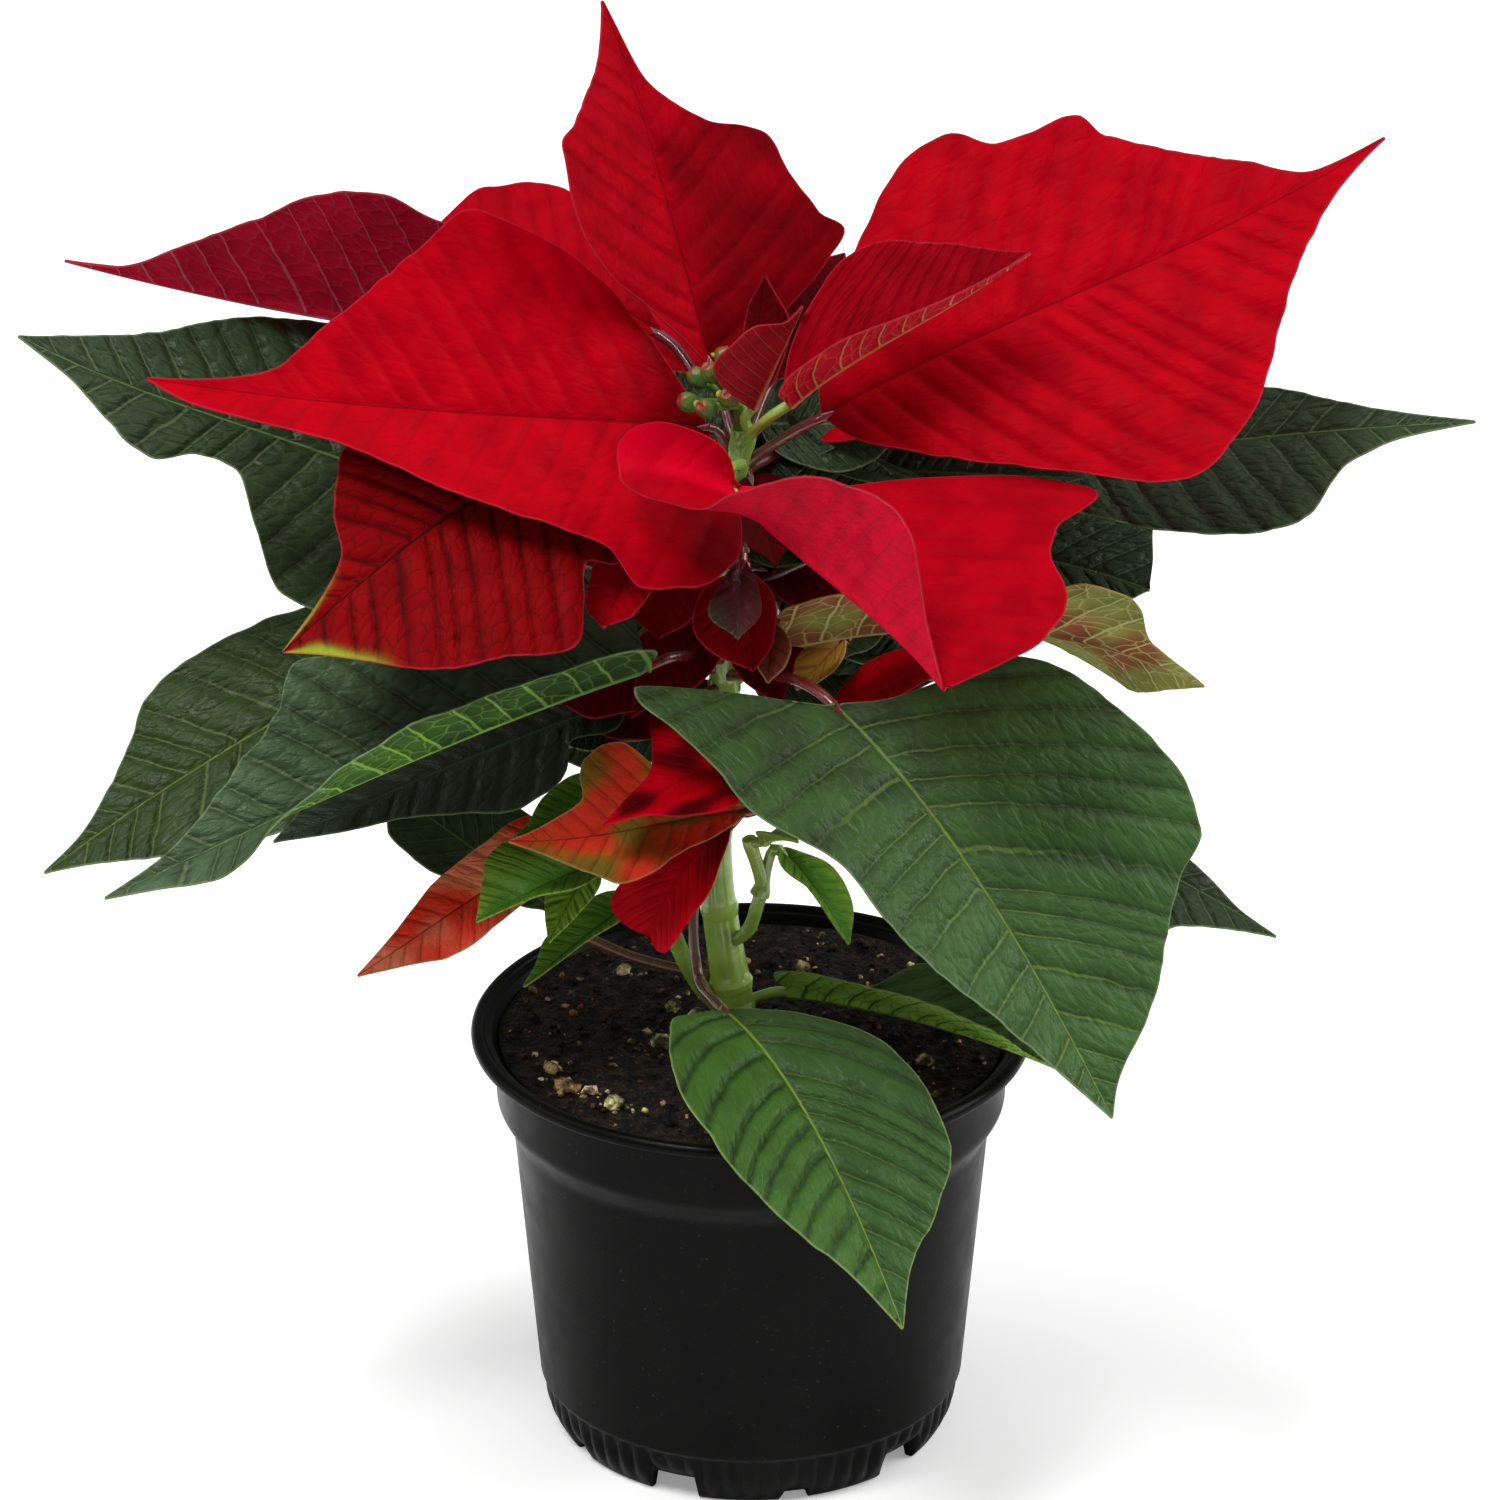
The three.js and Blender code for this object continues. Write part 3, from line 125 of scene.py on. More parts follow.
LEAVES = (
    # red bracts of the head
    Leaf("bract_top", "bract_red", start=244, base=(-9, 10, 262), length=85, azimuth=129,
         rise=63, bend=(3, 4), side=(0, -8), fold_left=(15, 20, 10), fold_right=(15, 12, 8),
         left=((0.08, 6), (0.19, 17), (0.26, 28), (0.35, 35), (0.49, 34), (0.57, 26), (0.74, 13),
               (0.89, 5)),
         right=((0.14, 24), (0.2, 34), (0.24, 40), (0.28, 35), (0.36, 31), (0.44, 29), (0.57, 14),
                (0.78, 3)),
         paint="deep red", turn=Turn("shaded red", side=1.4, tip=-2.5, lean=-0.1, patches=0.4), quilt=0.4),
    Leaf("bract_right", "bract_red", start=243, base=(16, -8, 257), length=139, azimuth=6,
         rise=26, bend=(4, 8), roll=(46, 44, 36), fold_left=3, fold_right=(2, 0, 4),
         left=((0.02, 5), (0.12, 22), (0.19, 34), (0.27, 46), (0.31, 47), (0.37, 40), (0.47, 39),
               (0.51, 32), (0.76, 11), (0.88, 2)),
         right=((0.04, 8), (0.15, 21), (0.3, 39), (0.41, 51), (0.5, 45), (0.61, 31), (0.7, 20), (0.87, 6),
                (0.95, 2)),
         paint="bright red", turn=Turn("shaded red", tip=-9, lean=0.3, patches=0.3), quilt=0.65),
    Leaf("bract_right_small", "bract_red", start=248, base=(8, -28, 268), length=63, azimuth=6,
         rise=32, bend=(8, 6), fold_left=(45, 50, 40), fold_right=(50, 50, 40),
         left=((0.07, 6), (0.15, 11), (0.22, 15), (0.36, 21), (0.42, 21), (0.57, 16), (0.8, 8)),
         right=((0.03, 6), (0.11, 9), (0.24, 10), (0.32, 9), (0.44, 6), (0.58, 4)),
         bow=3, lean_right=(0, 0.9), paint="folded red", stalk="green stalk", quilt=0.25),
    Leaf("bract_left", "bract_red", start=240, base=(-10, -2, 252), length=131, azimuth=-162,
         rise=12, bend=(0, 2), side=(-5, 8), roll=(-32, -36, -32), fold_left=(-5, -5, 0),
         fold_right=(22, 22, 8),
         left=((0.03, 25), (0.07, 36), (0.13, 42), (0.19, 42), (0.22, 32), (0.28, 28), (0.44, 20),
               (0.65, 10), (0.8, 7), (0.91, 5)),
         right=((0.03, 5), (0.14, 23), (0.19, 32), (0.28, 42), (0.36, 46), (0.43, 38), (0.54, 26),
                (0.65, 16), (0.77, 6), (0.9, 2)),
         paint="bright red", turn=Turn("shaded red", tip=-12, lean=1.4, patches=0.3), quilt=0.4),
    Leaf("bract_front", "bract_red", start=238, via=((-2, -15, 248),), base=(-4, -31, 249),
         length=87, azimuth=-58, rise=-11, bend=(-10, -4), side=(-6, 6), fold_left=8,
         fold_right=(18, 40, 80, 86, 88, 85), curl_right=(-25, -55, -20, 0, 0, 0),
         sweep_left=(-35, 10, 22, 20), sweep_right=(-50, -30, 0, 15, 20), lobe=(40, 80),
         left=((0.04, 4), (0.15, 15), (0.24, 40), (0.31, 60), (0.36, 66), (0.42, 51), (0.52, 43),
               (0.65, 39), (0.83, 26), (0.92, 13)),
         right=((0.002, 8), (0.005, 11), (0.01, 13), (0.02, 17), (0.035, 20), (0.06, 22), (0.13, 25),
                (0.18, 24), (0.21, 19), (0.32, 21),
                (0.41, 25), (0.49, 28), (0.64, 30), (0.72, 27), (0.78, 20), (0.84, 12)),
         paint="front red", turn=Turn("lit red", tip=-30, lean=2.6), stalk="green stalk", quilt=0.3),
    Leaf("bract_back_left", "bract_red", start=238, base=(-21, 30, 262), length=62, azimuth=150,
         rise=12, bend=(15, 0), roll=-25, fold_left=10, fold_right=10,
         left=((0.17, 10), (0.37, 18), (0.77, 6)),
         right=((0.16, 5), (0.34, 10), (0.5, 22), (0.73, 18), (0.87, 13), (0.96, 5)),
         paint="deep red"),
    Leaf("bract_far_left", "bract_red", start=235, base=(-43, 22, 262), length=114,
         azimuth=-173, rise=13, bend=(-5, 5), fold_left=(60, 75, 70, 60), fold_right=(15, 15, 10),
         left=((0.12, 29), (0.28, 31), (0.36, 35), (0.42, 34), (0.58, 23), (0.76, 11), (0.9, 2)),
         right=((0.15, 8), (0.36, 16), (0.6, 13), (0.85, 4)),
         paint="deep red"),
    Leaf("bract_centre", "bract_red", start=243, via=((0, -9, 252),), base=(0, -12, 261),
         length=30, azimuth=-35, rise=63, fold_left=(60, 50, 30), fold_right=(20, 20, 10),
         left=((0.3, 6), (0.7, 4)), right=((0.14, 7), (0.36, 17), (0.5, 15), (0.69, 11), (0.85, 2)),
         paint="centre red", stalk="green stalk", quilt=0.2),
    Leaf("bract_centre_back", "bract_red", start=247, base=(-1, 4, 256), length=28, azimuth=68,
         rise=67, bend=(4, 4), fold_left=(15, 10), fold_right=(15, 10), left=((0.4, 3), (0.66, 3)),
         right=((0.2, 7), (0.49, 9), (0.74, 5)),
         paint="dark red"),
    Leaf("bract_gap", "bract_red", start=245, base=(5, 16, 257), length=41, azimuth=64, rise=24,
         bend=(5, 0), fold_left=(15, 10), fold_right=(15, 10), left=((0.25, 7), (0.5, 9), (0.84, 5)),
         right=((0.1, 5), (0.32, 8), (0.66, 6)),
         paint="dark red"),
    Leaf("bract_lower_left", "bract_red", start=226, base=(-44, -12, 249), length=83,
         azimuth=-137, rise=-17, bend=(12, -8), roll=(-42, -40), fold_left=(5, 5, 0),
         fold_right=(8, 8, 5),
         left=((0.04, 20), (0.12, 30), (0.16, 26), (0.23, 34), (0.29, 41), (0.43, 34), (0.56, 28),
               (0.66, 22), (0.78, 14), (0.94, 4)),
         right=((0.14, 8), (0.32, 22), (0.41, 26), (0.49, 21), (0.55, 17), (0.67, 7), (0.82, 3)),
         paint="quilted red", turn=Turn("yellow green", tip=11, margin=4.5, lean=-12.9, patches=0.8),
         quilt=1.2),
    Leaf("bract_under", "bract_red", start=180, base=(14, -8, 182), length=49, azimuth=-23,
         rise=32, bend=(8, -5), roll=10, fold_left=(8, 5), fold_right=5,
         left=((0.1, 4), (0.25, 13), (0.49, 11), (0.75, 6)), right=((0.15, 12), (0.35, 15), (0.7, 9)),
         paint="bright red"),
    # leaves between the head and the green leaves, some of them still turning red
    Leaf("turning_right", "bract_turning", start=205, base=(3, -12, 202), length=100,
         azimuth=-10, rise=-1, bend=(20, -26), roll=(-10, -30, -62), fold_left=(25, 5, -15),
         fold_right=(40, 25, 5), left=((0.42, 3), (0.5, 5), (0.6, 19), (0.74, 18), (0.9, 7)),
         right=((0.06, 8), (0.13, 16), (0.24, 18), (0.4, 19), (0.56, 18), (0.62, 22), (0.7, 21),
                (0.84, 6)),
         paint="turning", turn=Turn("turned green", tip=1.2, margin=1.6, patches=1.3, lean=-1.5), quilt=0.6),
    Leaf("turning_small", "bract_turning", start=196, base=(21, -2, 200), length=16,
         azimuth=-159, rise=-43, fold_left=10, fold_right=10, left=((0.29, 9), (0.52, 7)),
         right=((0.4, 9), (0.66, 8)),
         paint="amber"),
    Leaf("turning_curl", "bract_turning", start=213, via=((1, -12, 217),), base=(5, -22, 212),
         length=15, azimuth=-96, rise=-36, bend=(10, -8), fold_left=20, fold_right=20,
         left=((0.41, 5), (0.66, 4)), right=((0.36, 3), (0.65, 3)),
         paint="turning"),
    Leaf("inner_red_a", "bract_red", start=226, base=(-23, -18, 231), length=24, azimuth=-122,
         rise=-37, bend=(10, 0), fold_left=20, fold_right=20, left=((0.36, 10), (0.69, 8)),
         right=((0.3, 8), (0.59, 7), (0.81, 5)),
         paint="deep red", quilt=0.3),
    Leaf("inner_red_b", "bract_red", start=222, base=(-14, -12, 224), length=20, azimuth=-119,
         rise=-46, bend=(10, 0), fold_left=10, fold_right=10, left=((0.3, 8), (0.57, 7)),
         right=((0.27, 7), (0.48, 9), (0.76, 6)),
         paint="shaded red", quilt=0.3),
    Leaf("inner_red_c", "bract_red", start=218, base=(-1, -20, 224), length=23, azimuth=-84,
         rise=-52, bend=(10, 0), fold_left=5, fold_right=5, left=((0.3, 6), (0.63, 5)),
         right=((0.21, 11), (0.4, 13), (0.69, 8)),
         paint="shaded red", quilt=0.3),
    Leaf("inner_red_d", "bract_red", start=192, base=(-19, -6, 193), length=28, azimuth=-150,
         rise=-2, bend=(10, -8), roll=-20, fold_left=10, fold_right=10,
         left=((0.3, 12), (0.52, 11), (0.75, 9)), right=((0.2, 4), (0.51, 4), (0.81, 2)),
         paint="dark red", quilt=0.3),
    # painted shade: a near-black red leaf in the shaded middle of the head, turning to shaded green
    Leaf("inner_green", "leaf_green", start=222, base=(-2, -26, 229), length=19, azimuth=-94,
         rise=-41, bend=(10, 0), fold_left=10, fold_right=10, left=((0.32, 4), (0.57, 5)),
         right=((0.33, 5), (0.53, 7)),
         paint="inner red", turn=Turn("shaded green", tip=3, lean=-2.4, patches=0.8), quilt=0.3),
    Leaf("inner_leaf_dark", "leaf_green", start=180, base=(-20, 2, 182), length=26,
         azimuth=-147, rise=-10, bend=(10, -8), roll=-20, fold_left=10, fold_right=10,
         left=((0.3, 10), (0.54, 7), (0.81, 5)), right=((0.19, 3), (0.46, 6), (0.71, 5)),
         paint="dark green", quilt=0.3),
    # the spray low on the left
    Leaf("spray_orange", "bract_turning", start=162, base=(-1, -30, 170), length=56,
         azimuth=-161, rise=1, bend=(5, 8), side=(-6, 8), roll=-20, fold_left=(-10, -5),
         fold_right=(40, 35, 20),
         left=((0.19, 6), (0.34, 9), (0.44, 13), (0.52, 14), (0.64, 10), (0.84, 4)),
         right=((0.07, 2), (0.23, 3), (0.32, 14), (0.38, 20), (0.51, 18), (0.56, 14), (0.6, 9),
                (0.77, 5)),
         paint="orange", turn=Turn("moss", tip=-1.5, lean=0.5, patches=1.5), quilt=0.4),
    Leaf("spray_red_upper", "bract_red", start=172, base=(-3, -32, 185), length=37,
         azimuth=-146, rise=-13, bend=(5, -5), fold_left=10, fold_right=10,
         left=((0.15, 12), (0.34, 25), (0.49, 19), (0.69, 8)),
         right=((0.05, 20), (0.16, 26), (0.31, 14), (0.51, 6), (0.68, 4)),
         paint="smooth red", turn=Turn("dark red", patches=1.5), quilt=0.2),
    Leaf("spray_red_lower", "bract_red", start=158, base=(-5, -26, 165), length=32,
         azimuth=-156, rise=-51, bend=(20, -20), fold_left=0, fold_right=0,
         left=((0.23, 9), (0.43, 14), (0.63, 13), (0.85, 10), (0.96, 6)),
         right=((0.35, 6), (0.58, 19), (0.67, 20), (0.85, 16), (0.96, 8)),
         paint="smooth red", turn=Turn("dark red", tip=-4, lean=0.8, patches=0.6), quilt=0.1),
    Leaf("spray_orange_left", "bract_turning", start=(-22, -13, 146), base=(-43, -20, 156),
         length=55, azimuth=-156, rise=-24, bend=(8, 0), roll=-30, fold_left=5, fold_right=5,
         left=((0.15, 7), (0.34, 9), (0.5, 10), (0.6, 9), (0.73, 6)),
         right=((0.09, 11), (0.26, 10), (0.43, 9), (0.74, 4)),
         paint="flame", turn=Turn("salmon", patches=1.2, lean=0.1), quilt=0.3),
    Leaf("spray_green_a", "leaf_young", start=(-22, -14, 150), base=(-34, -12, 165), length=22,
         azimuth=-158, rise=-17, bend=(5, 0), roll=-20, fold_left=10, fold_right=10,
         left=((0.24, 12), (0.53, 9)), right=((0.12, 8), (0.37, 7), (0.78, 2)),
         paint="spring green", turn=Turn("lime", margin=4, lean=-3), quilt=0.3),
    Leaf("spray_green_b", "leaf_young", start=(-22.5, -13, 148), via=((-28, -26, 158),),
         base=(-33, -32, 158), length=33, azimuth=-154, rise=-14, bend=(12, -5), roll=-10,
         fold_left=20, fold_right=20, left=((0.27, 10), (0.55, 4), (0.8, 2)),
         right=((0.11, 9), (0.27, 12), (0.44, 14), (0.74, 7)),
         paint="spring green", turn=Turn("lime", margin=3, side=0.7, lean=-2), quilt=0.3),
    Leaf("spray_green_c", "leaf_young", start=(-21, -12, 142), base=(-36, -24, 154), length=21,
         azimuth=-129, rise=-42, bend=(10, 0), fold_left=10, fold_right=10,
         left=((0.23, 6), (0.57, 4)), right=((0.17, 7), (0.33, 7), (0.67, 4)),
         paint="lime", quilt=0.3),
    Leaf("spray_green_d", "leaf_green", start=(-18, -9, 129), base=(-25, -8, 138), length=36,
         azimuth=-143, rise=-21, bend=(8, 0), roll=-20, fold_left=(30, 30, 20), fold_right=10,
         left=((0.21, 4), (0.51, 2), (0.8, 1)), right=((0.19, 6), (0.38, 7), (0.59, 6), (0.85, 2)),
         paint="spring green", turn=Turn("lime", margin=4, lean=-3), quilt=0.3),
    # the shoot low on the right
    Leaf("shoot_leaf_a", "leaf_young", start=(2, -9, 139), base=(7, -10, 151), length=27,
         azimuth=-38, rise=-43, bend=(15, -10), fold_left=20, fold_right=20,
         left=((0.13, 3), (0.36, 7), (0.61, 6)), right=((0.2, 7), (0.4, 3), (0.8, 2)),
         paint="spring green", turn=Turn("lime", margin=3, lean=-2.2), stalk="green stalk", quilt=0.3),
    Leaf("shoot_leaf_b", "leaf_young", start=(-0.5, -11, 153), base=(3, -13, 155), length=16,
         azimuth=-60, rise=20, bend=(15, -10), fold_left=30, fold_right=30,
         left=((0.25, 4), (0.6, 3)), right=((0.25, 4), (0.6, 3)),
         paint="lime", stalk="green stalk", quilt=0.3),
    # green leaves
    Leaf("leaf_upper_left", "leaf_green", start=206, base=(-61, 10, 224), length=116,
         azimuth=-169, rise=27, bend=(8, 6), side=(-3, 3), roll=(-36, -40, -30), fold_left=0,
         fold_right=(8, 8, 5),
         left=((0.13, 28), (0.26, 41), (0.34, 38), (0.41, 25), (0.5, 11), (0.57, 11), (0.63, 16),
               (0.75, 11), (0.88, 4)),
         right=((0.19, 21), (0.27, 33), (0.34, 31), (0.48, 26), (0.68, 15), (0.89, 6)),
         paint="dark green"),
    Leaf("leaf_lower_left", "leaf_green", start=186, base=(-73, 10, 194), length=103,
         azimuth=-158, rise=-24, bend=(8, -6), roll=-25, fold_left=0, fold_right=(12, 5),
         left=((0.19, 22), (0.4, 28), (0.56, 22), (0.71, 15), (0.88, 6)),
         right=((0.05, 12), (0.14, 18), (0.21, 22), (0.41, 25), (0.5, 23), (0.62, 15), (0.75, 8),
                (0.9, 2)),
         paint="olive green", quilt=0.4),
    Leaf("leaf_front_left", "leaf_green", start=194, base=(-23, -28, 205), length=135,
         azimuth=-154, rise=-13, bend=(5, -2), roll=(-30, -34, -30), fold_left=(98, 95, 92, 75, 15, 0),
         fold_right=(12, 15, 5), sweep_left=(-72, 5, 25, 20),
         left=((0.02, 3), (0.05, 5), (0.1, 7), (0.2, 10), (0.35, 12.5), (0.5, 12.5), (0.6, 10), (0.68, 11.5),
               (0.78, 10), (0.88, 5)),
         right=((0.02, 13), (0.12, 22), (0.26, 28), (0.41, 28), (0.47, 30), (0.54, 22), (0.68, 13),
                (0.88, 3)),
         paint="backlit green", turn=Turn("dull green", tip=-5, lean=1.9, patches=0.6), quilt=0.7,
         ruffle=1.8),
    Leaf("leaf_dark_left", "leaf_green", start=184, base=(-28, -14, 190), length=87,
         azimuth=-159, rise=-14, bend=(6, 0), roll=-10, fold_left=-15, fold_right=0,
         left=((0.09, 7), (0.19, 6), (0.23, 13), (0.29, 17), (0.36, 18), (0.49, 13), (0.64, 8), (0.8, 5)),
         right=((0.15, 18), (0.4, 24), (0.7, 14)),
         paint="shaded green", quilt=0.2),
    Leaf("leaf_low_left", "leaf_green", start=112, base=(-37, 12, 118), length=58, azimuth=164,
         rise=32, bend=(0, -6), roll=-15, fold_left=0, fold_right=10,
         left=((0.21, 2), (0.28, 5), (0.45, 10), (0.6, 14), (0.72, 13), (0.83, 11)),
         right=((0.19, 10), (0.34, 17), (0.46, 17), (0.63, 13), (0.85, 8)),
         paint="dark green", stalk="brown stalk"),
    Leaf("leaf_right_front", "leaf_green", start=190, base=(19, -42, 201), length=111,
         azimuth=-44, rise=-41, bend=(18, -10), roll=(20, 20, 12), fold_left=(8, 8, 5),
         fold_right=(8, 8, 5), sweep_left=(-20, 5, 20, 20), sweep_right=(-48, -14, 15, 20, 25),
         left=((0.07, 9), (0.14, 26), (0.18, 39), (0.25, 46), (0.42, 52), (0.5, 49), (0.56, 39),
               (0.79, 19), (0.93, 5)),
         right=((0.01, 22), (0.03, 35), (0.06, 37), (0.09, 36), (0.14, 35), (0.21, 36), (0.33, 26),
                (0.42, 25), (0.69, 14), (0.85, 7)),
         lean_right=(-0.1, 0.8), paint="dark green", turn=Turn("green", tip=2.2, lean=-0.25, patches=0.5),
         quilt=0.45),
    Leaf("leaf_over_rim", "leaf_young", start=150, via=((-13, -9, 137), (-12, -16, 121)),
         base=(-6, -34, 122), length=90, azimuth=-59, rise=-31, bend=(30, -18), fold_left=(5, 5, 0),
         fold_right=(8, 8, 0),
         left=((0.07, 7), (0.14, 14), (0.27, 26), (0.39, 29), (0.5, 28), (0.61, 22), (0.84, 7)),
         right=((0.03, 9), (0.05, 14), (0.14, 21), (0.27, 28), (0.4, 27), (0.61, 18), (0.8, 8)),
         bow=1.5, lean_right=(0.05, 0.75), paint="green", turn=Turn("quilted green", side=2, lean=-0.2),
         stalk="brown stalk", quilt=0.8),
    Leaf("leaf_on_soil", "leaf_young", start=106, base=(9, 2, 109), length=69, azimuth=-28,
         rise=-3, bend=(8, -8), fold_left=(20, 20, 10), fold_right=(48, 48, 30),
         left=((0.07, 6), (0.26, 6), (0.34, 16), (0.47, 18), (0.79, 8)),
         right=((0.01, 6), (0.04, 10), (0.1, 12), (0.2, 12.5), (0.35, 12), (0.6, 13), (0.78, 13), (0.9, 6)),
         bow=1.8, paint="green", turn=Turn("quilted green", side=3), stalk="green stalk", quilt=1.2),
    Leaf("leaf_upper_right", "leaf_green", start=210, base=(57, 30, 225), length=113,
         azimuth=-16, rise=14, bend=(8, -4), roll=(32, 30, 25), fold_left=5, fold_right=(5, 5, 0),
         left=((0.12, 7), (0.3, 16), (0.51, 14), (0.66, 9), (0.83, 4)),
         right=((0.13, 11), (0.27, 21), (0.32, 25), (0.4, 28), (0.48, 30), (0.55, 29), (0.71, 11),
                (0.84, 4)),
         paint="dark green", quilt=0.4),
    Leaf("leaf_mid_right", "leaf_green", start=202, base=(34, 24, 213), length=59, azimuth=-14,
         rise=-6, bend=(10, -10), roll=15, fold_left=10, fold_right=0,
         left=((0.17, 13), (0.46, 18), (0.54, 27), (0.66, 28), (0.79, 18), (0.91, 9)),
         right=((0.23, 10), (0.55, 17), (0.9, 6)),
         paint="dark green"),
    Leaf("leaf_right_behind", "leaf_green", start=168, base=(53, 24, 150), length=77,
         azimuth=-19, rise=-20, bend=(10, -6), roll=10, fold_left=8, fold_right=8,
         left=((0.16, 17), (0.43, 15), (0.63, 7), (0.72, 5), (0.89, 1)),
         right=((0.3, 26), (0.54, 26), (0.64, 18), (0.83, 8)),
         paint="dark green"),
    Leaf("leaf_centre_right", "leaf_green", start=186, base=(11, 10, 194), length=64,
         azimuth=31, rise=-26, bend=(10, -10), roll=10, fold_left=10, fold_right=10,
         left=((0.24, 10), (0.47, 12), (0.75, 8)), right=((0.2, 14), (0.45, 16), (0.75, 8)),
         paint="dark green"),
    Leaf("leaf_gap_right", "leaf_green", start=224, base=(11, 20, 236), length=65, azimuth=39,
         rise=-11, bend=(10, 0), roll=20, fold_left=10, fold_right=10,
         left=((0.24, 6), (0.51, 10), (0.77, 7)), right=((0.08, 11), (0.2, 20), (0.49, 14), (0.8, 7)),
         paint="dark green"),
    # bracts and leaves on the far side
    Leaf("bract_back_right", "bract_red", start=241, base=(10, 16, 241), length=92, azimuth=54,
         rise=-4, bend=(16, -10), fold_left=(14, 10, 5), fold_right=(14, 10, 5),
         left=half_outline(TOOTHED_HALF, 34), right=half_outline(TOOTHED_HALF, 34),
         paint="bright red", quilt=0.6),
    Leaf("bract_back", "bract_red", start=236, base=(-6, 21, 249), length=84, azimuth=98,
         rise=4, bend=(18, -12), fold_left=(12, 10, 5), fold_right=(12, 10, 5),
         left=half_outline(TOOTHED_HALF, 34), right=half_outline(TOOTHED_HALF, 34),
         paint="bright red", quilt=0.6),
    Leaf("bract_back_far_left", "bract_red", start=232, base=(-18, 18, 236), length=92,
         azimuth=134, rise=-10, bend=(16, -12), fold_left=(12, 10, 5), fold_right=(12, 10, 5),
         left=half_outline(TOOTHED_HALF, 32), right=half_outline(TOOTHED_HALF, 32),
         paint="deep red", quilt=0.6),
    Leaf("leaf_back_right", "leaf_green", start=190, base=(12, 27, 202), length=102, azimuth=50,
         rise=-16, bend=(18, -12), roll=6, fold_left=(12, 10, 5), fold_right=(12, 10, 5),
         left=half_outline(SMOOTH_HALF, 39), right=half_outline(SMOOTH_HALF, 39),
         paint="dark green"),
    Leaf("leaf_back", "leaf_green", start=178, base=(-4, 30, 188), length=80, azimuth=88,
         rise=-20, bend=(18, -12), fold_left=(12, 10, 5), fold_right=(12, 10, 5),
         left=half_outline(SMOOTH_HALF, 38), right=half_outline(SMOOTH_HALF, 38),
         paint="dark green"),
    Leaf("leaf_back_left", "leaf_green", start=198, base=(-24, 29, 208), length=94, azimuth=124,
         rise=-18, bend=(18, -12), roll=-6, fold_left=(12, 10, 5), fold_right=(12, 10, 5),
         left=half_outline(SMOOTH_HALF, 38), right=half_outline(SMOOTH_HALF, 38),
         paint="dark green"),
)


def axil_leaf(name, half_width, **facts):
    """A small leaf close round the stem, in the axil of a larger one, as wide on both sides."""
    half = half_outline(SMOOTH_HALF, half_width)
    usual = dict(slot="leaf_green", paint="dark green", fold_left=8, fold_right=8)
    return Leaf(name="axil_" + name, **{**usual, "left": half, "right": half, **facts})


RED_AXIL = dict(slot="bract_red", paint="dark red", fold_left=10, fold_right=10)

AXIL_LEAVES = (
    axil_leaf("leaf_a", 14, start=232, base=(5, 8, 231), length=38, azimuth=8, rise=-14, roll=45),
    axil_leaf("leaf_b", 13, start=200, base=(3, 8, 201), length=36, azimuth=20, rise=-4, roll=42),
    axil_leaf("leaf_c", 14, start=203, base=(-9, 8, 206), length=40, azimuth=168, rise=-8, roll=-45),
    axil_leaf("leaf_d", 9, start=243, base=(-7, 4, 247), length=26, azimuth=150, rise=22, roll=-38),
    axil_leaf("leaf_e", 13, start=244, base=(2, 12, 247), length=38, azimuth=18, rise=-8, roll=42),
    axil_leaf("leaf_f", 13, start=228, base=(-8, 9, 226), length=34, azimuth=4, rise=-4, roll=48),
    axil_leaf("leaf_g", 14, start=186, base=(0, 8, 187), length=46, azimuth=12, rise=-6, roll=44),
    axil_leaf("leaf_h", 13, start=178, base=(-13, 4, 181), length=42, azimuth=-176, rise=-12, roll=-44),
    axil_leaf("leaf_i", 12, start=238, base=(-15, 12, 240), length=34, azimuth=-3, rise=3, roll=45,
              paint="shaded green"),
    axil_leaf("leaf_j", 10, start=210, base=(-13, 12, 210), length=30, azimuth=-2, rise=2, roll=45,
              paint="shaded green"),
    axil_leaf("leaf_k", 12, start=237, base=(30, 23, 231), length=46, azimuth=-9, rise=1, roll=32,
              paint="shaded green"),
    axil_leaf("bract_a", 9, **{**RED_AXIL, "fold_left": 12, "fold_right": 12}, start=208,
              base=(-2, -9, 209), length=25, azimuth=-62, rise=-42, bend=(14, -6),
              left=half_outline(TOOTHED_HALF, 9)),
    axil_leaf("bract_b", 10, **{**RED_AXIL, "fold_left": 12, "fold_right": 12}, start=204,
              base=(-8, -8, 207), length=30, azimuth=-140, rise=-34, bend=(12, -6), roll=-20,
              right=half_outline(TOOTHED_HALF, 9)),
    axil_leaf("bract_c", 12, **RED_AXIL, start=186, base=(-10, -3, 188), length=36, azimuth=-172, rise=-8,
              bend=(8, -6), roll=-42, turn=Turn("dark green", tip=3, lean=-1.5, patches=1)),
    axil_leaf("bract_d", 10, **RED_AXIL, start=214, base=(2, 6, 214), length=30, azimuth=14, rise=-18,
              roll=40),
    # painted shade: a near-black red bract filling the shaded gap in front of the stem
    axil_leaf("bract_e", 10, **{**RED_AXIL, "paint": "inner red"}, start=239, base=(0, -8, 242), length=21,
              azimuth=-54, rise=-62, right=half_outline(SMOOTH_HALF, 9)),
)

# ---------------- paints


def srgb(code):
    """A colour written as six hexadecimal digits, in linear light, by the standard curve of screens."""
    parts = [int(code[i:i + 2], 16) / 255 for i in (0, 2, 4)]
    return tuple(p / 12.92 if p <= 0.04045 else ((p + 0.055) / 1.055) ** 2.4 for p in parts)


@dataclass(frozen=True)
class Paint:
    """The colours of a blade's two faces and of the veins on each, and how strongly those veins show."""

    upper: tuple
    upper_vein: tuple
    under: tuple
    under_vein: tuple
    upper_marks: float = 1.0
    under_marks: float = 1.0
    rib: tuple = None  # the midrib's own colour on the upper face


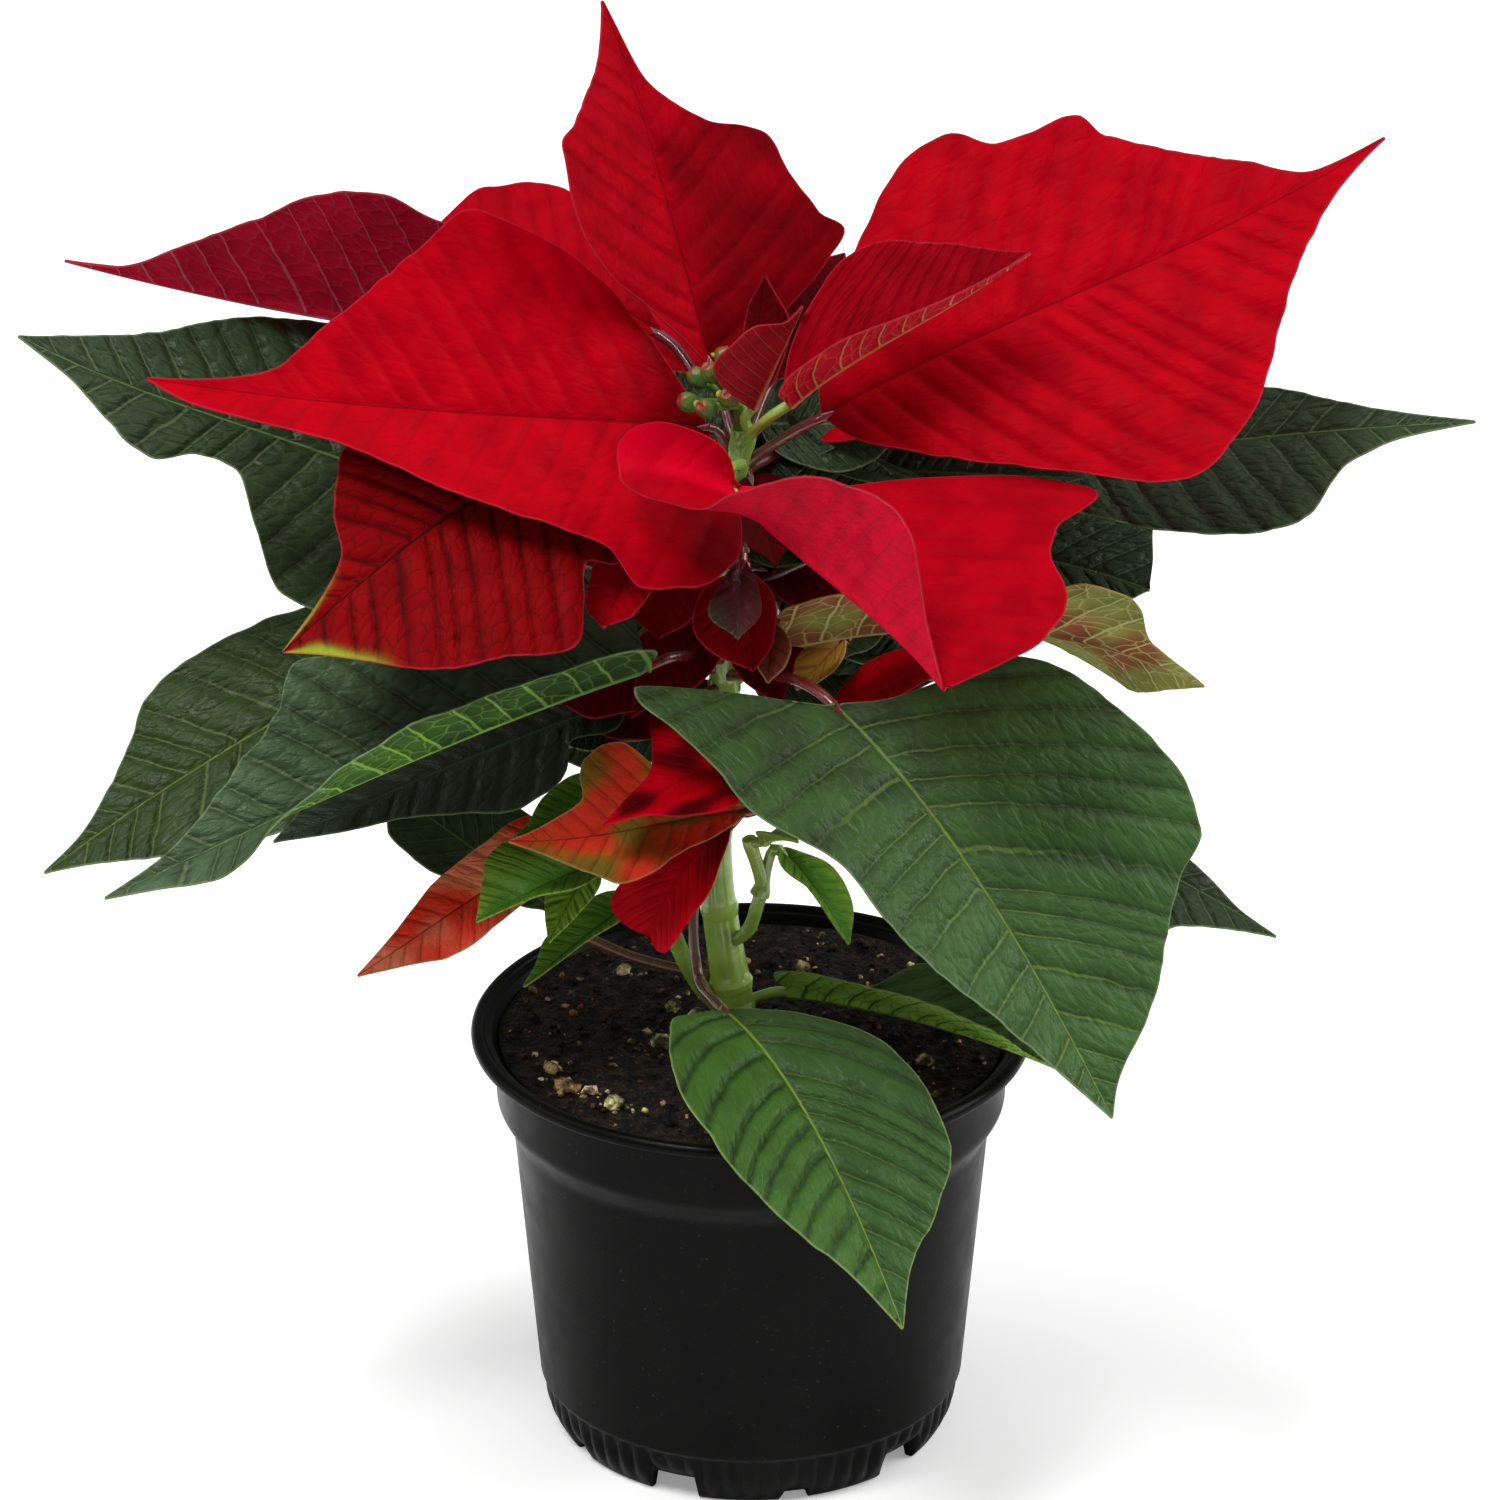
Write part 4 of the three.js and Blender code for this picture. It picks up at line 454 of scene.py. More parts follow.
PAINTS = {
    "bright red": Paint(srgb("a80012"), srgb("7c000c"), srgb("b80a2c"), srgb("8c1020")),
    "smooth red": Paint(srgb("b80014"), srgb("90000e"), srgb("b80a2c"), srgb("8c1020"), 0.3),
    "front red": Paint(srgb("980010"), srgb("70000a"), srgb("bc0828"), srgb("980e22"), 0.7, 0.8),
    "lit red": Paint(srgb("c80020"), srgb("a8000e"), srgb("bc0828"), srgb("980e22"), 0.3, 0.8),
    "folded red": Paint(srgb("880010"), srgb("58000a"), srgb("c41c30"), srgb("c49460"), 1.6, 1.3),
    "centre red": Paint(srgb("8c0410"), srgb("58000a"), srgb("a81828"), srgb("b47c50"), 1.0, 0.7),
    "deep red": Paint(srgb("9a0010"), srgb("680008"), srgb("a40826"), srgb("b05868"), 1.3, 0.9),
    "shaded red": Paint(srgb("6c0008"), srgb("4c0406"), srgb("980c24"), srgb("8c1020"), 1.3),
    "dark red": Paint(srgb("500206"), srgb("340406"), srgb("701020"), srgb("885048"), 0.8, 0.5),
    # painted shade: near-black red with hardly any veins or margin, for small leaves deep in the shaded head
    "inner red": Paint(srgb("480408"), srgb("340406"), srgb("701020"), srgb("885048"), 0.04, 0.3),
    "quilted red": Paint(srgb("7c060a"), srgb("280a08"), srgb("70141c"), srgb("8c6844"), 3.2),
    "orange": Paint(srgb("c02c18"), srgb("6c1c0c"), srgb("b85030"), srgb("b88c48"), 0.7),
    "moss": Paint(srgb("6c5c18"), srgb("483c10"), srgb("8c6434"), srgb("b88c48"), 0.7),
    "flame": Paint(srgb("ec3420"), srgb("841c10"), srgb("c04428"), srgb("b88c48"), 0.8),
    "salmon": Paint(srgb("f88460"), srgb("a04024"), srgb("d07048"), srgb("b88c48"), 0.7),
    "amber": Paint(srgb("b88c34"), srgb("a84c30"), srgb("b08c40"), srgb("a85838")),
    "turning": Paint(srgb("6a2c1c"), srgb("402412"), srgb("8a5436"), srgb("b4a868"), 1.0, 1.2),
    "turned green": Paint(srgb("546428"), srgb("402412"), srgb("868c44"), srgb("b0b070"), 1.0, 1.1),
    "yellow green": Paint(srgb("8c9c2c"), srgb("5c6c18"), srgb("94a040"), srgb("b0b860"), 0.8),
    "lime": Paint(srgb("6a9020"), srgb("446c14"), srgb("80a43c"), srgb("a0bc5c"), 0.5),
    "spring green": Paint(srgb("4c8020"), srgb("2c5414"), srgb("6c9c3c"), srgb("90b058"), 0.4),
    "quilted green": Paint(srgb("406624"), srgb("1c3814"), srgb("94c04c"), srgb("3c6c20"), 1.3, 1.8,
                           srgb("98bc28")),
    "green": Paint(srgb("365626"), srgb("708c38"), srgb("54783c"), srgb("7c9c50"), rib=srgb("6c8430")),
    "olive green": Paint(srgb("2a3e14"), srgb("64802c"), srgb("54783c"), srgb("7c9c50"), rib=srgb("64782c")),
    "backlit green": Paint(srgb("405638"), srgb("607448"), srgb("3c6420"), srgb("80ac40"), 1.3, 1.7),
    "dull green": Paint(srgb("405638"), srgb("607448"), srgb("2c4820"), srgb("6c9440"), 1.3, 1.5),
    "dark green": Paint(srgb("2a3c22"), srgb("5c7444"), srgb("3e5630"), srgb("708458"), 1.2),
    "shaded green": Paint(srgb("1c2a18"), srgb("34482c"), srgb("3e5630"), srgb("708458"), 0.4),
}

# ---------------- the blades' shape

BASE_HALF_WIDTH = 1.0
TIP_HALF_WIDTH = 0.3
ROW_STEP = 1.5
LEAST_ROWS = 20
COLUMN_STEP = 2.2
RIB_COLUMNS = ((0.45, 0.14), (1.0, 0.28), (1.8, 0.42))  # distance from the midrib, and the most of a width
MARGIN_COLUMN = (0.4, 0.06)  # the same from the margin
SAMPLES = 1500  # points at which a blade's margins are measured before its rows are set
LEAST_CURL = 1e-4
NO_LOBE = (0, 0)
LOBE_REACH = (0.006, 0.025)  # stations within which a lobe's sweep and its fold fade away
SHARP_EDGE = math.radians(50)

NOISE_SEEDS = 997  # how many fields of noise the leaves are spread over
TEETH = ((0.55, 6), (0.3, 2.9))  # height and span of the small teeth in a margin
TOOTHED_WIDTH = (12, 0.2)  # half width that goes with full teeth, and the share of it where they start
HALVES_APART = (30.0, 40)  # how far apart the two halves read the noise of the teeth and of the veins

LAMINA = 0.35  # thickness of a blade between its veins
KEEL = (1.5, 0.25)  # how far the midrib stands out below, at the base and at the tip
KEEL_WIDTH = (1.3, 0.5)
KEEL_POWER = 0.6  # how soon it thins
GROOVE = (0.25, 0.9)  # depth and width of the groove above the midrib

VEIN_SPACING = (3.0, 8.4)  # least and most distance between side veins along the midrib
VEINS_PER_LENGTH = 12  # how many side veins a midrib has between those limits
VEIN_SHIFT = 0.42  # how far the right-hand veins are set against the left-hand ones, in spacings
VEIN_SHIFT_START = 40  # how soon that shift sets in beside the midrib
VEIN_UNEVEN = (0.75, 2.4)  # how uneven the spacing is, and over how many spacings it changes
PHASE_START = 20  # keeps the count of side veins above zero

RIPPLE = (16, 0.12)  # span of the wandering of the swellings, and how far they wander, in spacings
PUFF_POWER = 2.4  # how full the swellings are
FULL_QUILT = (14, 0.2, 1)  # half width that goes with full swellings, and their least and most share
RIB_FADE = 3  # distance from the midrib over which the swellings rise
MARGIN_FADE = (5, 0.15)  # distance from the margin over which they rise, and what is left of them there
DIMPLES = (0.12, 3.2)  # height and span
RUFFLE = (13, 0.5, 3)  # span, how far it is drawn out across the blade, and how soon it fades inwards
PATCH_SPAN = 11
PATCH_SHARE = 2  # how strongly the patches count
TURN_EDGE = 4  # how sharp the line between two paints is
SIDE_EDGE = 12  # how sharp it is along the midrib
TURN_LIMIT = 8  # from here on a place has one paint alone


def through(values, shares):
    """A smooth curve through equally spaced values, or just one, read at an array of shares of its length."""
    values = np.atleast_1d(np.asarray(values, float))
    last = len(values) - 1
    if last == 0:
        return np.full(np.shape(shares), values[0])
    padded = np.concatenate([[2 * values[0] - values[1]], values, [2 * values[-1] - values[-2]]])
    i = np.clip((shares * last).astype(int), 0, last - 1)
    r = shares * last - i
    a, b, c, d = (padded[i + k] for k in range(4))
    slope = c - a
    bow = 2 * a - 5 * b + 4 * c - d
    twist = 3 * b - a - 3 * c + d
    return b + (slope * r + bow * r ** 2 + twist * r ** 3) / 2


def margin_widths(margin, stations):
    """Half widths along a margin: a smooth curve through its points that doesn't swing past them."""
    u, w = np.array([(0, BASE_HALF_WIDTH), *margin, (1, TIP_HALF_WIDTH)], float).T
    step = np.diff(u)
    slope = np.diff(w) / step
    tangent = np.concatenate([slope[:1], np.zeros(len(slope) - 1), slope[-1:]])
    before, after = slope[:-1], slope[1:]
    same_way = before * after > 0
    mean = 2 * before * after / np.where(same_way, before + after, 1)
    at_peak = (before + after) / 6
    tangent[1:-1] = np.where(same_way, mean, at_peak)
    i = np.clip(np.searchsorted(u, stations, side="right") - 1, 0, len(step) - 1)
    r = (stations - u[i]) / step[i]
    rise = w[i] * (1 + 2 * r) * (1 - r) ** 2 + w[i + 1] * r ** 2 * (3 - 2 * r)
    lean = step[i] * (tangent[i] * r * (1 - r) ** 2 - tangent[i + 1] * r ** 2 * (1 - r))
    return np.maximum(rise + lean, TIP_HALF_WIDTH)


def edges(leaf, stations):
    """Half widths of both margins, with small teeth and waves."""
    widths = []
    for row, margin in enumerate((leaf.left, leaf.right)):
        width = margin_widths(margin, stations)
        line = np.stack([stations * leaf.length, np.full(len(stations), HALVES_APART[0] * row)])
        teeth = sum(height * noise_field(*line, leaf.name, span) for height, span in TEETH)
        widths.append(width + teeth * np.clip(width / TOOTHED_WIDTH[0] - TOOTHED_WIDTH[1], 0, 1))
    return widths


def unit(vectors):
    """The vectors at a length of one."""
    return vectors / np.linalg.norm(vectors, axis=-1, keepdims=True)


def directions(leaf):
    """The heading of a blade, the way to its right and the way that its upper face looks."""
    azimuth, rise = math.radians(leaf.azimuth), math.radians(leaf.rise)
    ahead = np.array([math.cos(rise) * math.cos(azimuth), math.cos(rise) * math.sin(azimuth), math.sin(rise)])
    right = np.array([math.sin(azimuth), -math.cos(azimuth), 0.0])
    return ahead, right, np.cross(right, ahead)


def midrib(leaf):
    """The four control points of the midrib's curve."""
    ahead, right, up = directions(leaf)
    base = np.array(leaf.base, float)
    tip = base + ahead * leaf.length
    bends, sides = np.tan(np.radians(leaf.bend)), np.tan(np.radians(leaf.side))
    first, last = (unit(ahead + up * bend + right * side) for bend, side in zip(bends, sides))
    return base, base + first * leaf.length / 3, tip - last * leaf.length / 3, tip


def bezier(points, shares):
    """The points and headings of a cubic curve at an array of shares."""
    a, b, c, d = points
    t = shares[:, None]
    place = a * (1 - t) ** 3 + 3 * b * t * (1 - t) ** 2 + 3 * c * t ** 2 * (1 - t) + d * t ** 3
    heading = (b - a) * (1 - t) ** 2 + 2 * (c - b) * t * (1 - t) + (d - c) * t ** 2
    return place, unit(heading)


def half_surface(stations, shares, widths, lobe, fold, curl, sweep):
    """Distances along, across and above the midrib of one half's points."""
    ahead, lifted = (amount * np.exp(-stations / reach) for amount, reach in zip(lobe, LOBE_REACH))
    fold = np.radians(through(fold, stations) + lifted)[:, None]
    curl = np.radians(through(curl, stations))[:, None]
    curl = np.where(np.abs(curl) < LEAST_CURL, LEAST_CURL, curl)
    sweep = np.tan(np.radians(through(sweep, stations) + ahead))[:, None]
    width = widths[:, None]
    share = np.abs(shares)
    out = width * (np.sin(fold + curl * share) - np.sin(fold)) / curl
    lift = width * (np.cos(fold) - np.cos(fold + curl * share)) / curl
    return (width - BASE_HALF_WIDTH) * share * sweep, out, lift


class Surface:
    """The middle surface of a blade, as a grid of rows along its midrib and columns across it."""

    def __init__(self, leaf, stations, shares):
        ahead, right, up = directions(leaf)
        place, along = bezier(midrib(leaf), stations)
        roll = np.radians(through(leaf.roll, stations))[:, None]
        across = right * np.cos(roll) - up * np.sin(roll)
        across = unit(across - along * np.sum(across * along, axis=1, keepdims=True))
        face = np.cross(across, along)
        widths = edges(leaf, stations)
        turns = (
            (NO_LOBE, leaf.fold_left, leaf.curl_left, leaf.sweep_left),
            (leaf.lobe, leaf.fold_right, leaf.curl_right, leaf.sweep_right))
        halves = [half_surface(stations, shares, width, *turn) for width, turn in zip(widths, turns)]
        is_left = shares < 0
        forward, out, lift = (np.where(is_left, a, b) for a, b in zip(*halves))
        self.width = np.where(is_left, widths[0][:, None], widths[1][:, None])
        sideways = np.sign(shares) * out
        self.points = (place[:, None] + along[:, None] * forward[..., None]
                       + across[:, None] * sideways[..., None] + face[:, None] * lift[..., None])
        # The same grid rolled out flat, in which the veins are drawn.
        self.flat_along = stations[:, None] * leaf.length + forward
        self.flat_across = shares * self.width

    def normals(self):
        return unit(np.cross(np.gradient(self.points, axis=1), np.gradient(self.points, axis=0)))


def rows_and_columns(leaf):
    """Stations about a row's step apart along the midrib and both margins, and the shares across each."""
    fine = np.linspace(0, 1, SAMPLES)
    lines = Surface(leaf, fine, np.tile([-1.0, 0.0, 1.0], (SAMPLES, 1))).points
    steps = np.linalg.norm(np.diff(lines, axis=0), axis=-1).max(axis=1)
    travelled = np.concatenate([[0], np.cumsum(steps)])
    count = max(LEAST_ROWS, round(travelled[-1] / ROW_STEP))
    stations = np.interp(np.linspace(0, travelled[-1], count + 1), travelled, fine)
    halves = []
    for width in edges(leaf, stations):
        width = width[:, None]
        near = [np.minimum(distance, width * most) for distance, most in RIB_COLUMNS]
        rim = width - np.minimum(MARGIN_COLUMN[0], width * MARGIN_COLUMN[1])
        between = max(2, round((width.max() - RIB_COLUMNS[-1][0]) / COLUMN_STEP))
        middle = [near[-1] + (rim - near[-1]) * k / between for k in range(1, between)]
        halves.append(np.concatenate([*near, *middle, rim, width], axis=1) / width)
    left, right = halves
    shares = np.concatenate([-left[:, ::-1], np.zeros((len(stations), 1)), right], axis=1)
    return stations, shares


def side_veins(leaf, surface, shares):
    """The count of side veins up to each point, a whole number on a vein."""
    spacing = min(max(leaf.length / VEINS_PER_LENGTH, VEIN_SPACING[0]), VEIN_SPACING[1])
    along, across = surface.flat_along, np.abs(surface.flat_across)
    near, far = (np.where(shares < 0, *ends) for ends in zip(leaf.lean_left, leaf.lean_right))
    reach = across / leaf.length
    foot = (along - near * across - leaf.bow * across * reach) / (1 + (far - near) * reach)
    shift = VEIN_SHIFT * np.clip(shares * VEIN_SHIFT_START, 0, 1)
    amount, span = VEIN_UNEVEN
    uneven = noise_field(foot, np.where(shares < 0, 0, HALVES_APART[1]), leaf.name + " veins", span * spacing)
    return foot / spacing + shift + amount * uneven + PHASE_START


def swellings(leaf, surface, stations, shares, phase, quilting, waviness):
    """How far the upper face stands above the middle surface."""
    flat = surface.flat_along, surface.flat_across
    from_rib = np.abs(surface.flat_across)
    to_margin = surface.width * (1 - np.abs(shares))
    ripple = RIPPLE[1] * noise_field(*flat, leaf.name, RIPPLE[0])
    between = 1 - np.abs(2 * np.mod(phase + ripple, 1) - 1) ** PUFF_POWER
    full_width, *limits = FULL_QUILT
    size = np.clip(surface.width / full_width, *limits)
    fade = np.clip(from_rib / RIB_FADE, 0, 1) * np.clip(to_margin / MARGIN_FADE[0] + MARGIN_FADE[1], 0, 1)
    quilt = quilting * leaf.quilt * size * fade * (between - 0.5)
    dimples = DIMPLES[0] * size * fade * noise_field(*flat, leaf.name, DIMPLES[1])
    groove = -GROOVE[0] * np.exp(-(from_rib / GROOVE[1]) ** 2) * (1 - stations[:, None])
    span, draw, power = RUFFLE
    wave = noise_field(surface.flat_along, surface.flat_across * draw, leaf.name + " ruffle", span)
    ruffle = waviness * leaf.ruffle * size * np.abs(shares) ** power * wave
    return quilt + dimples + groove + ruffle


def noise_field(along, across, name, span):
    """Smooth noise between -1 and 1 over a flat blade, its own for each leaf."""
    seed = sum(ord(letter) * (i + 1) for i, letter in enumerate(name)) % NOISE_SEEDS
    places = np.stack([along.ravel() / span, across.ravel() / span], axis=1)
    values = [noise.noise(Vector((x, y, seed))) for x, y in places]
    return np.array(values).reshape(along.shape)


def keel(surface, stations):
    """Thickness of the blade at each point, with the midrib standing out below."""
    far = stations[:, None] ** KEEL_POWER
    height = KEEL[0] + (KEEL[1] - KEEL[0]) * far
    width = KEEL_WIDTH[0] + (KEEL_WIDTH[1] - KEEL_WIDTH[0]) * far
    return LAMINA + height * np.exp(-(surface.flat_across / width) ** 2)


# ---------------- colours on a blade


def turn_weight(leaf, surface, stations, shares):
    """The share of the second paint at each point."""
    turn = leaf.turn
    if turn is None:
        return np.zeros(shares.shape)
    patches = noise_field(surface.flat_along, surface.flat_across, leaf.name + " patches", PATCH_SPAN)
    tipwards, outwards = turn.tip * stations[:, None], turn.margin * np.abs(shares)
    rightwards = turn.side * np.tanh(shares * SIDE_EDGE)
    sign = tipwards + outwards + rightwards + PATCH_SHARE * turn.patches * patches + turn.lean
    return 1 / (1 + np.exp(-TURN_EDGE * np.clip(sign, -TURN_LIMIT, TURN_LIMIT)))


def blade_colours(leaf, surface, stations, shares):
    """The colour of the lamina and of its veins on both faces, at each point."""
    first = PAINTS[leaf.paint]
    second = PAINTS[leaf.turn.paint] if leaf.turn else first
    weight = turn_weight(leaf, surface, stations, shares)[..., None]

    def blend(pick):
        return np.array(pick(first)) * (1 - weight) + np.array(pick(second)) * weight

    return {
        "upper": blend(lambda paint: paint.upper),
        "upper_vein": blend(lambda paint: (*paint.upper_vein, paint.upper_marks)),
        "upper_rib": blend(lambda paint: paint.rib or paint.upper_vein),
        "under_rib": blend(lambda paint: paint.under_vein),
        "under": blend(lambda paint: paint.under),
        "under_vein": blend(lambda paint: (*paint.under_vein, paint.under_marks))}


# ---------------- meshes

MAP_SPAN = 100  # millimetres of a blade to one unit of its map


def new_object(name, bm, materials):
    """A finished piece from a bmesh: shaded smooth, at the origin, on the part's body."""
    mesh = bpy.data.meshes.new(name)
    bm.to_mesh(mesh)
    bm.free()
    for material in materials:
        mesh.materials.append(material)
    mesh.shade_smooth()
    piece = bpy.data.objects.new(name, mesh)
    bpy.context.scene.collection.objects.link(piece)
    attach(piece, BODY)
    return piece


def set_colours(mesh, name, values):
    """Writes a colour for each vertex, three or four numbers each."""
    if values.shape[1] == 3:
        values = np.concatenate([values, np.ones((len(values), 1))], axis=1)
    attribute = mesh.attributes.new(name, "FLOAT_COLOR", "POINT")
    attribute.data.foreach_set("color", values.astype(np.float32).ravel())


def blade_mesh(leaf, thickness, points, normals):
    """A thin closed solid under a grid of points. The layer tells which grid point a vertex stands for."""
    rows, columns = points.shape[:2]
    bm = bmesh.new()
    bmesh.ops.create_grid(bm, x_segments=columns - 1, y_segments=rows - 1, size=1)
    if len(bm.verts) != rows * columns:
        raise RuntimeError(f"{leaf.name}: the grid has {len(bm.verts)} points, and not {rows * columns}")
    key = bm.verts.layers.int.new("grid_point")
    flat_points, flat_normals = points.reshape(-1, 3) * MM, normals.reshape(-1, 3)
    depth = thickness.reshape(-1) * MM
    for vertex in bm.verts:
        row = round((vertex.co.y + 1) / 2 * (rows - 1))
        column = round((vertex.co.x + 1) / 2 * (columns - 1))
        index = row * columns + column
        vertex[key] = index
        vertex.co = flat_points[index]
    below = bmesh.ops.extrude_face_region(bm, geom=bm.faces[:], use_keep_orig=True)["geom"]
    for element in below:
        if isinstance(element, bmesh.types.BMVert):
            index = element[key]
            element.co -= Vector(flat_normals[index] * depth[index])
        elif isinstance(element, bmesh.types.BMFace):
            element.material_index = 1
    bmesh.ops.recalc_face_normals(bm, faces=bm.faces[:])
    return bm


def build_blade(leaf, materials, settings):
    """A leaf's blade, which stands for the node of the same name."""
    stations, shares = rows_and_columns(leaf)
    surface = Surface(leaf, stations, shares)
    phase = side_veins(leaf, surface, shares)
    normals = surface.normals()
    height = swellings(leaf, surface, stations, shares, phase, settings.quilting, settings.waviness)
    points = surface.points + normals * height[..., None]
    bm = blade_mesh(leaf, keel(surface, stations), points, normals)
    piece = new_object(leaf.name + "_blade", bm, materials)
    mesh = piece.data
    mesh.set_sharp_from_angle(angle=SHARP_EDGE)
    index = np.empty(len(mesh.vertices), np.int32)
    mesh.attributes["grid_point"].data.foreach_get("value", index)
    mesh.attributes.remove(mesh.attributes["grid_point"])
    for field, values in blade_colours(leaf, surface, stations, shares).items():
        set_colours(mesh, field, values.reshape(-1, values.shape[-1])[index])
    from_rib = np.abs(surface.flat_across)
    to_margin = surface.width * (1 - np.abs(shares))
    station = np.broadcast_to(stations[:, None], shares.shape)
    veins = np.stack([phase, from_rib, to_margin, station], axis=-1)
    set_colours(mesh, "veins", veins.reshape(-1, 4)[index])
    place = np.stack([surface.flat_along, surface.flat_across], axis=-1).reshape(-1, 2)[index]
    corners = np.empty(len(mesh.loops), np.int32)
    mesh.loops.foreach_get("vertex_index", corners)
    blade_map = mesh.uv_layers.new(name="blade")
    blade_map.data.foreach_set("uv", (place[corners] / MAP_SPAN).astype(np.float32).ravel())
    if leaf not in AXIL_LEAVES:
        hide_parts(leaf.name)


# ---------------- materials

MIX_FIRST, MIX_SECOND, MIX_RESULT = 6, 7, 2  # the colour sockets of a Mix node
CLOUD_ENDS = (0.3, 0.7)  # values of noise between which a mottled surface changes


class Nodes:
    """A short way to add and join a material's nodes."""

    def __init__(self, name):
        self.material = bpy.data.materials.new(name)
        self.material.use_nodes = True
        self.tree = self.material.node_tree
        self.shader = self.tree.nodes["Principled BSDF"]

    def add(self, kind, inputs=None, **settings):
        node = self.tree.nodes.new("ShaderNode" + kind)
        for key, value in settings.items():
            setattr(node, key, value)
        for key, value in (inputs or {}).items():
            self.plug(node.inputs[key], value)
        return node

    def plug(self, socket, value):
        if isinstance(value, bpy.types.NodeSocket):
            self.tree.links.new(value, socket)
        elif isinstance(value, tuple) and len(value) == 3 and socket.type == "RGBA":
            socket.default_value = (*value, 1)
        else:
            socket.default_value = value

    def math(self, operation, *values):
        node = self.add("Math", dict(enumerate(values)), operation=operation)
        return node.outputs[0]

    def ramp(self, value, low, high, out_low=0.0, out_high=1.0):
        """A smooth step from out_low to out_high as value goes from low to high."""
        inputs = {"Value": value, "From Min": low, "From Max": high, "To Min": out_low, "To Max": out_high}
        return self.add("MapRange", inputs, interpolation_type="SMOOTHSTEP").outputs["Result"]

    def near(self, distance, full, gone):
        """One up to the distance full, and nothing from the distance gone on."""
        return self.ramp(distance, full, gone, out_low=1.0, out_high=0.0)

    def mix(self, factor, first, second, blend="MIX"):
        node = self.add("Mix", data_type="RGBA", blend_type=blend)
        self.plug(node.inputs["Factor"], factor)
        self.plug(node.inputs[MIX_FIRST], first)
        self.plug(node.inputs[MIX_SECOND], second)
        return node.outputs[MIX_RESULT]

    def attribute(self, name):
        return self.add("Attribute", attribute_name=name).outputs["Color"]

    def noise(self, vector, scale, detail=2.0, output=0):
        return self.add("TexNoise", {"Vector": vector, "Scale": scale, "Detail": detail}).outputs[output]

    def mottle(self, vector, scale, low, high, detail=2.0):
        """Cloudy values between low and high."""
        return self.ramp(self.noise(vector, scale, detail), *CLOUD_ENDS, low, high)

    def cells(self, vector, scale):
        """Distance to the nearest line of an irregular net."""
        return self.add("TexVoronoi", {"Vector": vector, "Scale": scale}, feature="DISTANCE_TO_EDGE",
                        voronoi_dimensions="2D").outputs["Distance"]

    def grey(self, value):
        return self.add("CombineColor", {0: value, 1: value, 2: value}).outputs[0]

    def warp(self, vector, scale, reach):
        """A place moved by noise, so that what is drawn there isn't straight."""
        shift = self.noise(vector, scale, output=1)
        moved = self.add("VectorMath", {0: shift, "Scale": reach}, operation="SCALE").outputs[0]
        return self.add("VectorMath", {0: vector, 1: moved}, operation="ADD").outputs[0]

    def bump(self, height):
        """Relief from a height in metres."""
        inputs = {"Height": height, "Strength": 1.0, "Distance": 1.0}
        self.plug(self.shader.inputs["Normal"], self.add("Bump", inputs).outputs["Normal"])

    def finish(self, **sockets):
        for name, value in sockets.items():
            self.plug(self.shader.inputs[name.replace("_", " ")], value)
        return self.material


@dataclass(frozen=True)
class Finish:
    """How one face of a kind of leaf is finished. Strengths run from 0 to 1, heights are millimetres."""

    vein: float  # how strongly the side veins show at the midrib
    vein_end: float  # and how strongly at the margin
    crease_shade: float  # how strongly painted shade darkens the blade beside them
    web: float  # how strongly the net between them shows
    roughness: float
    gloss: float
    puff: float  # height of the swellings between the veins, below zero where the veins stand out
    cell: float  # height of the small cells of the net
    margin: tuple


FINISHES = {
    ("bract_red", "upper"): Finish(0.16, 0.08, 0.07, 0.045, 0.55, 0.02, 0.22, 0.08, srgb("a82838")),
    ("bract_red", "under"): Finish(0.7, 0.5, 0.1, 0.12, 0.6, 0.06, -0.3, -0.14, srgb("b85860")),
    ("bract_turning", "upper"): Finish(0.7, 0.5, 0.3, 0.2, 0.5, 0.1, 0.2, 0.14, srgb("a08850")),
    ("bract_turning", "under"): Finish(0.9, 0.8, 0.2, 0.6, 0.6, 0.1, -0.3, -0.14, srgb("a89860")),
    ("leaf_green", "upper"): Finish(0.42, 0.12, 0.42, 0.08, 0.45, 0.2, 0.5, 0.2, srgb("74885c")),
    ("leaf_green", "under"): Finish(0.7, 0.5, 0.1, 0.2, 0.6, 0.15, -0.35, -0.16, srgb("889c68")),
    ("leaf_young", "upper"): Finish(0.3, 0.08, 0.45, 0.06, 0.45, 0.2, 0.6, 0.2, srgb("88a058")),
    ("leaf_young", "under"): Finish(0.7, 0.5, 0.1, 0.2, 0.6, 0.15, -0.35, -0.16, srgb("94a868")),
}
VEIN_REACH = 32.0  # distance from the midrib over which side veins thin out
VEIN_DRIFT = 0.22  # how far they wander, in spacings
VEIN_BREADTH = (0.04, 0.022)  # their half breadth at the midrib and the margin, in spacings
CREASE_SHADE_BREADTH = 0.2  # spacings over which the painted shade beside a side vein fades
RIB_BREADTH = (0.44, 0.14)  # half breadth of the midrib at the base and the tip
LINE_EDGES = (0.4, 1.3)  # where a vein starts to fade and where it is gone, in half breadths
RIB_EDGES = (0.4, 1.2)  # the same of the midrib
RIB_STRENGTH = 0.9  # how strongly its colour shows
CELLS_PER_VEIN = 1.7  # cells of the net from one side vein to the next
CELL_LENGTH = 3.4  # millimetres along the side veins
NET_WARP = (1.1, 0.5)  # scale and reach of what bends its lines
FINE_NET = 3.1  # fine cells to one cell of the net
NET_LINE = 0.08  # half breadth of its lines, in cells
MARGIN_EDGES = (0.12, 0.5)  # distances from the margin where its pale line starts to fade and is gone
MARGIN_STRENGTH = 0.6  # how strongly that line shows
RELIEF_SLOPE = 0.3  # share of a spacing or a cell over which its relief rises
RIB_SLOPE = 0.15  # spacings that a millimetre from the midrib counts as
FINE_SHARE = 0.25  # height of the fine cells, against the others
GRAIN = 0.04  # height of the finest grain
ROUGHNESS_RANGE = 0.07  # how far the roughness varies either way


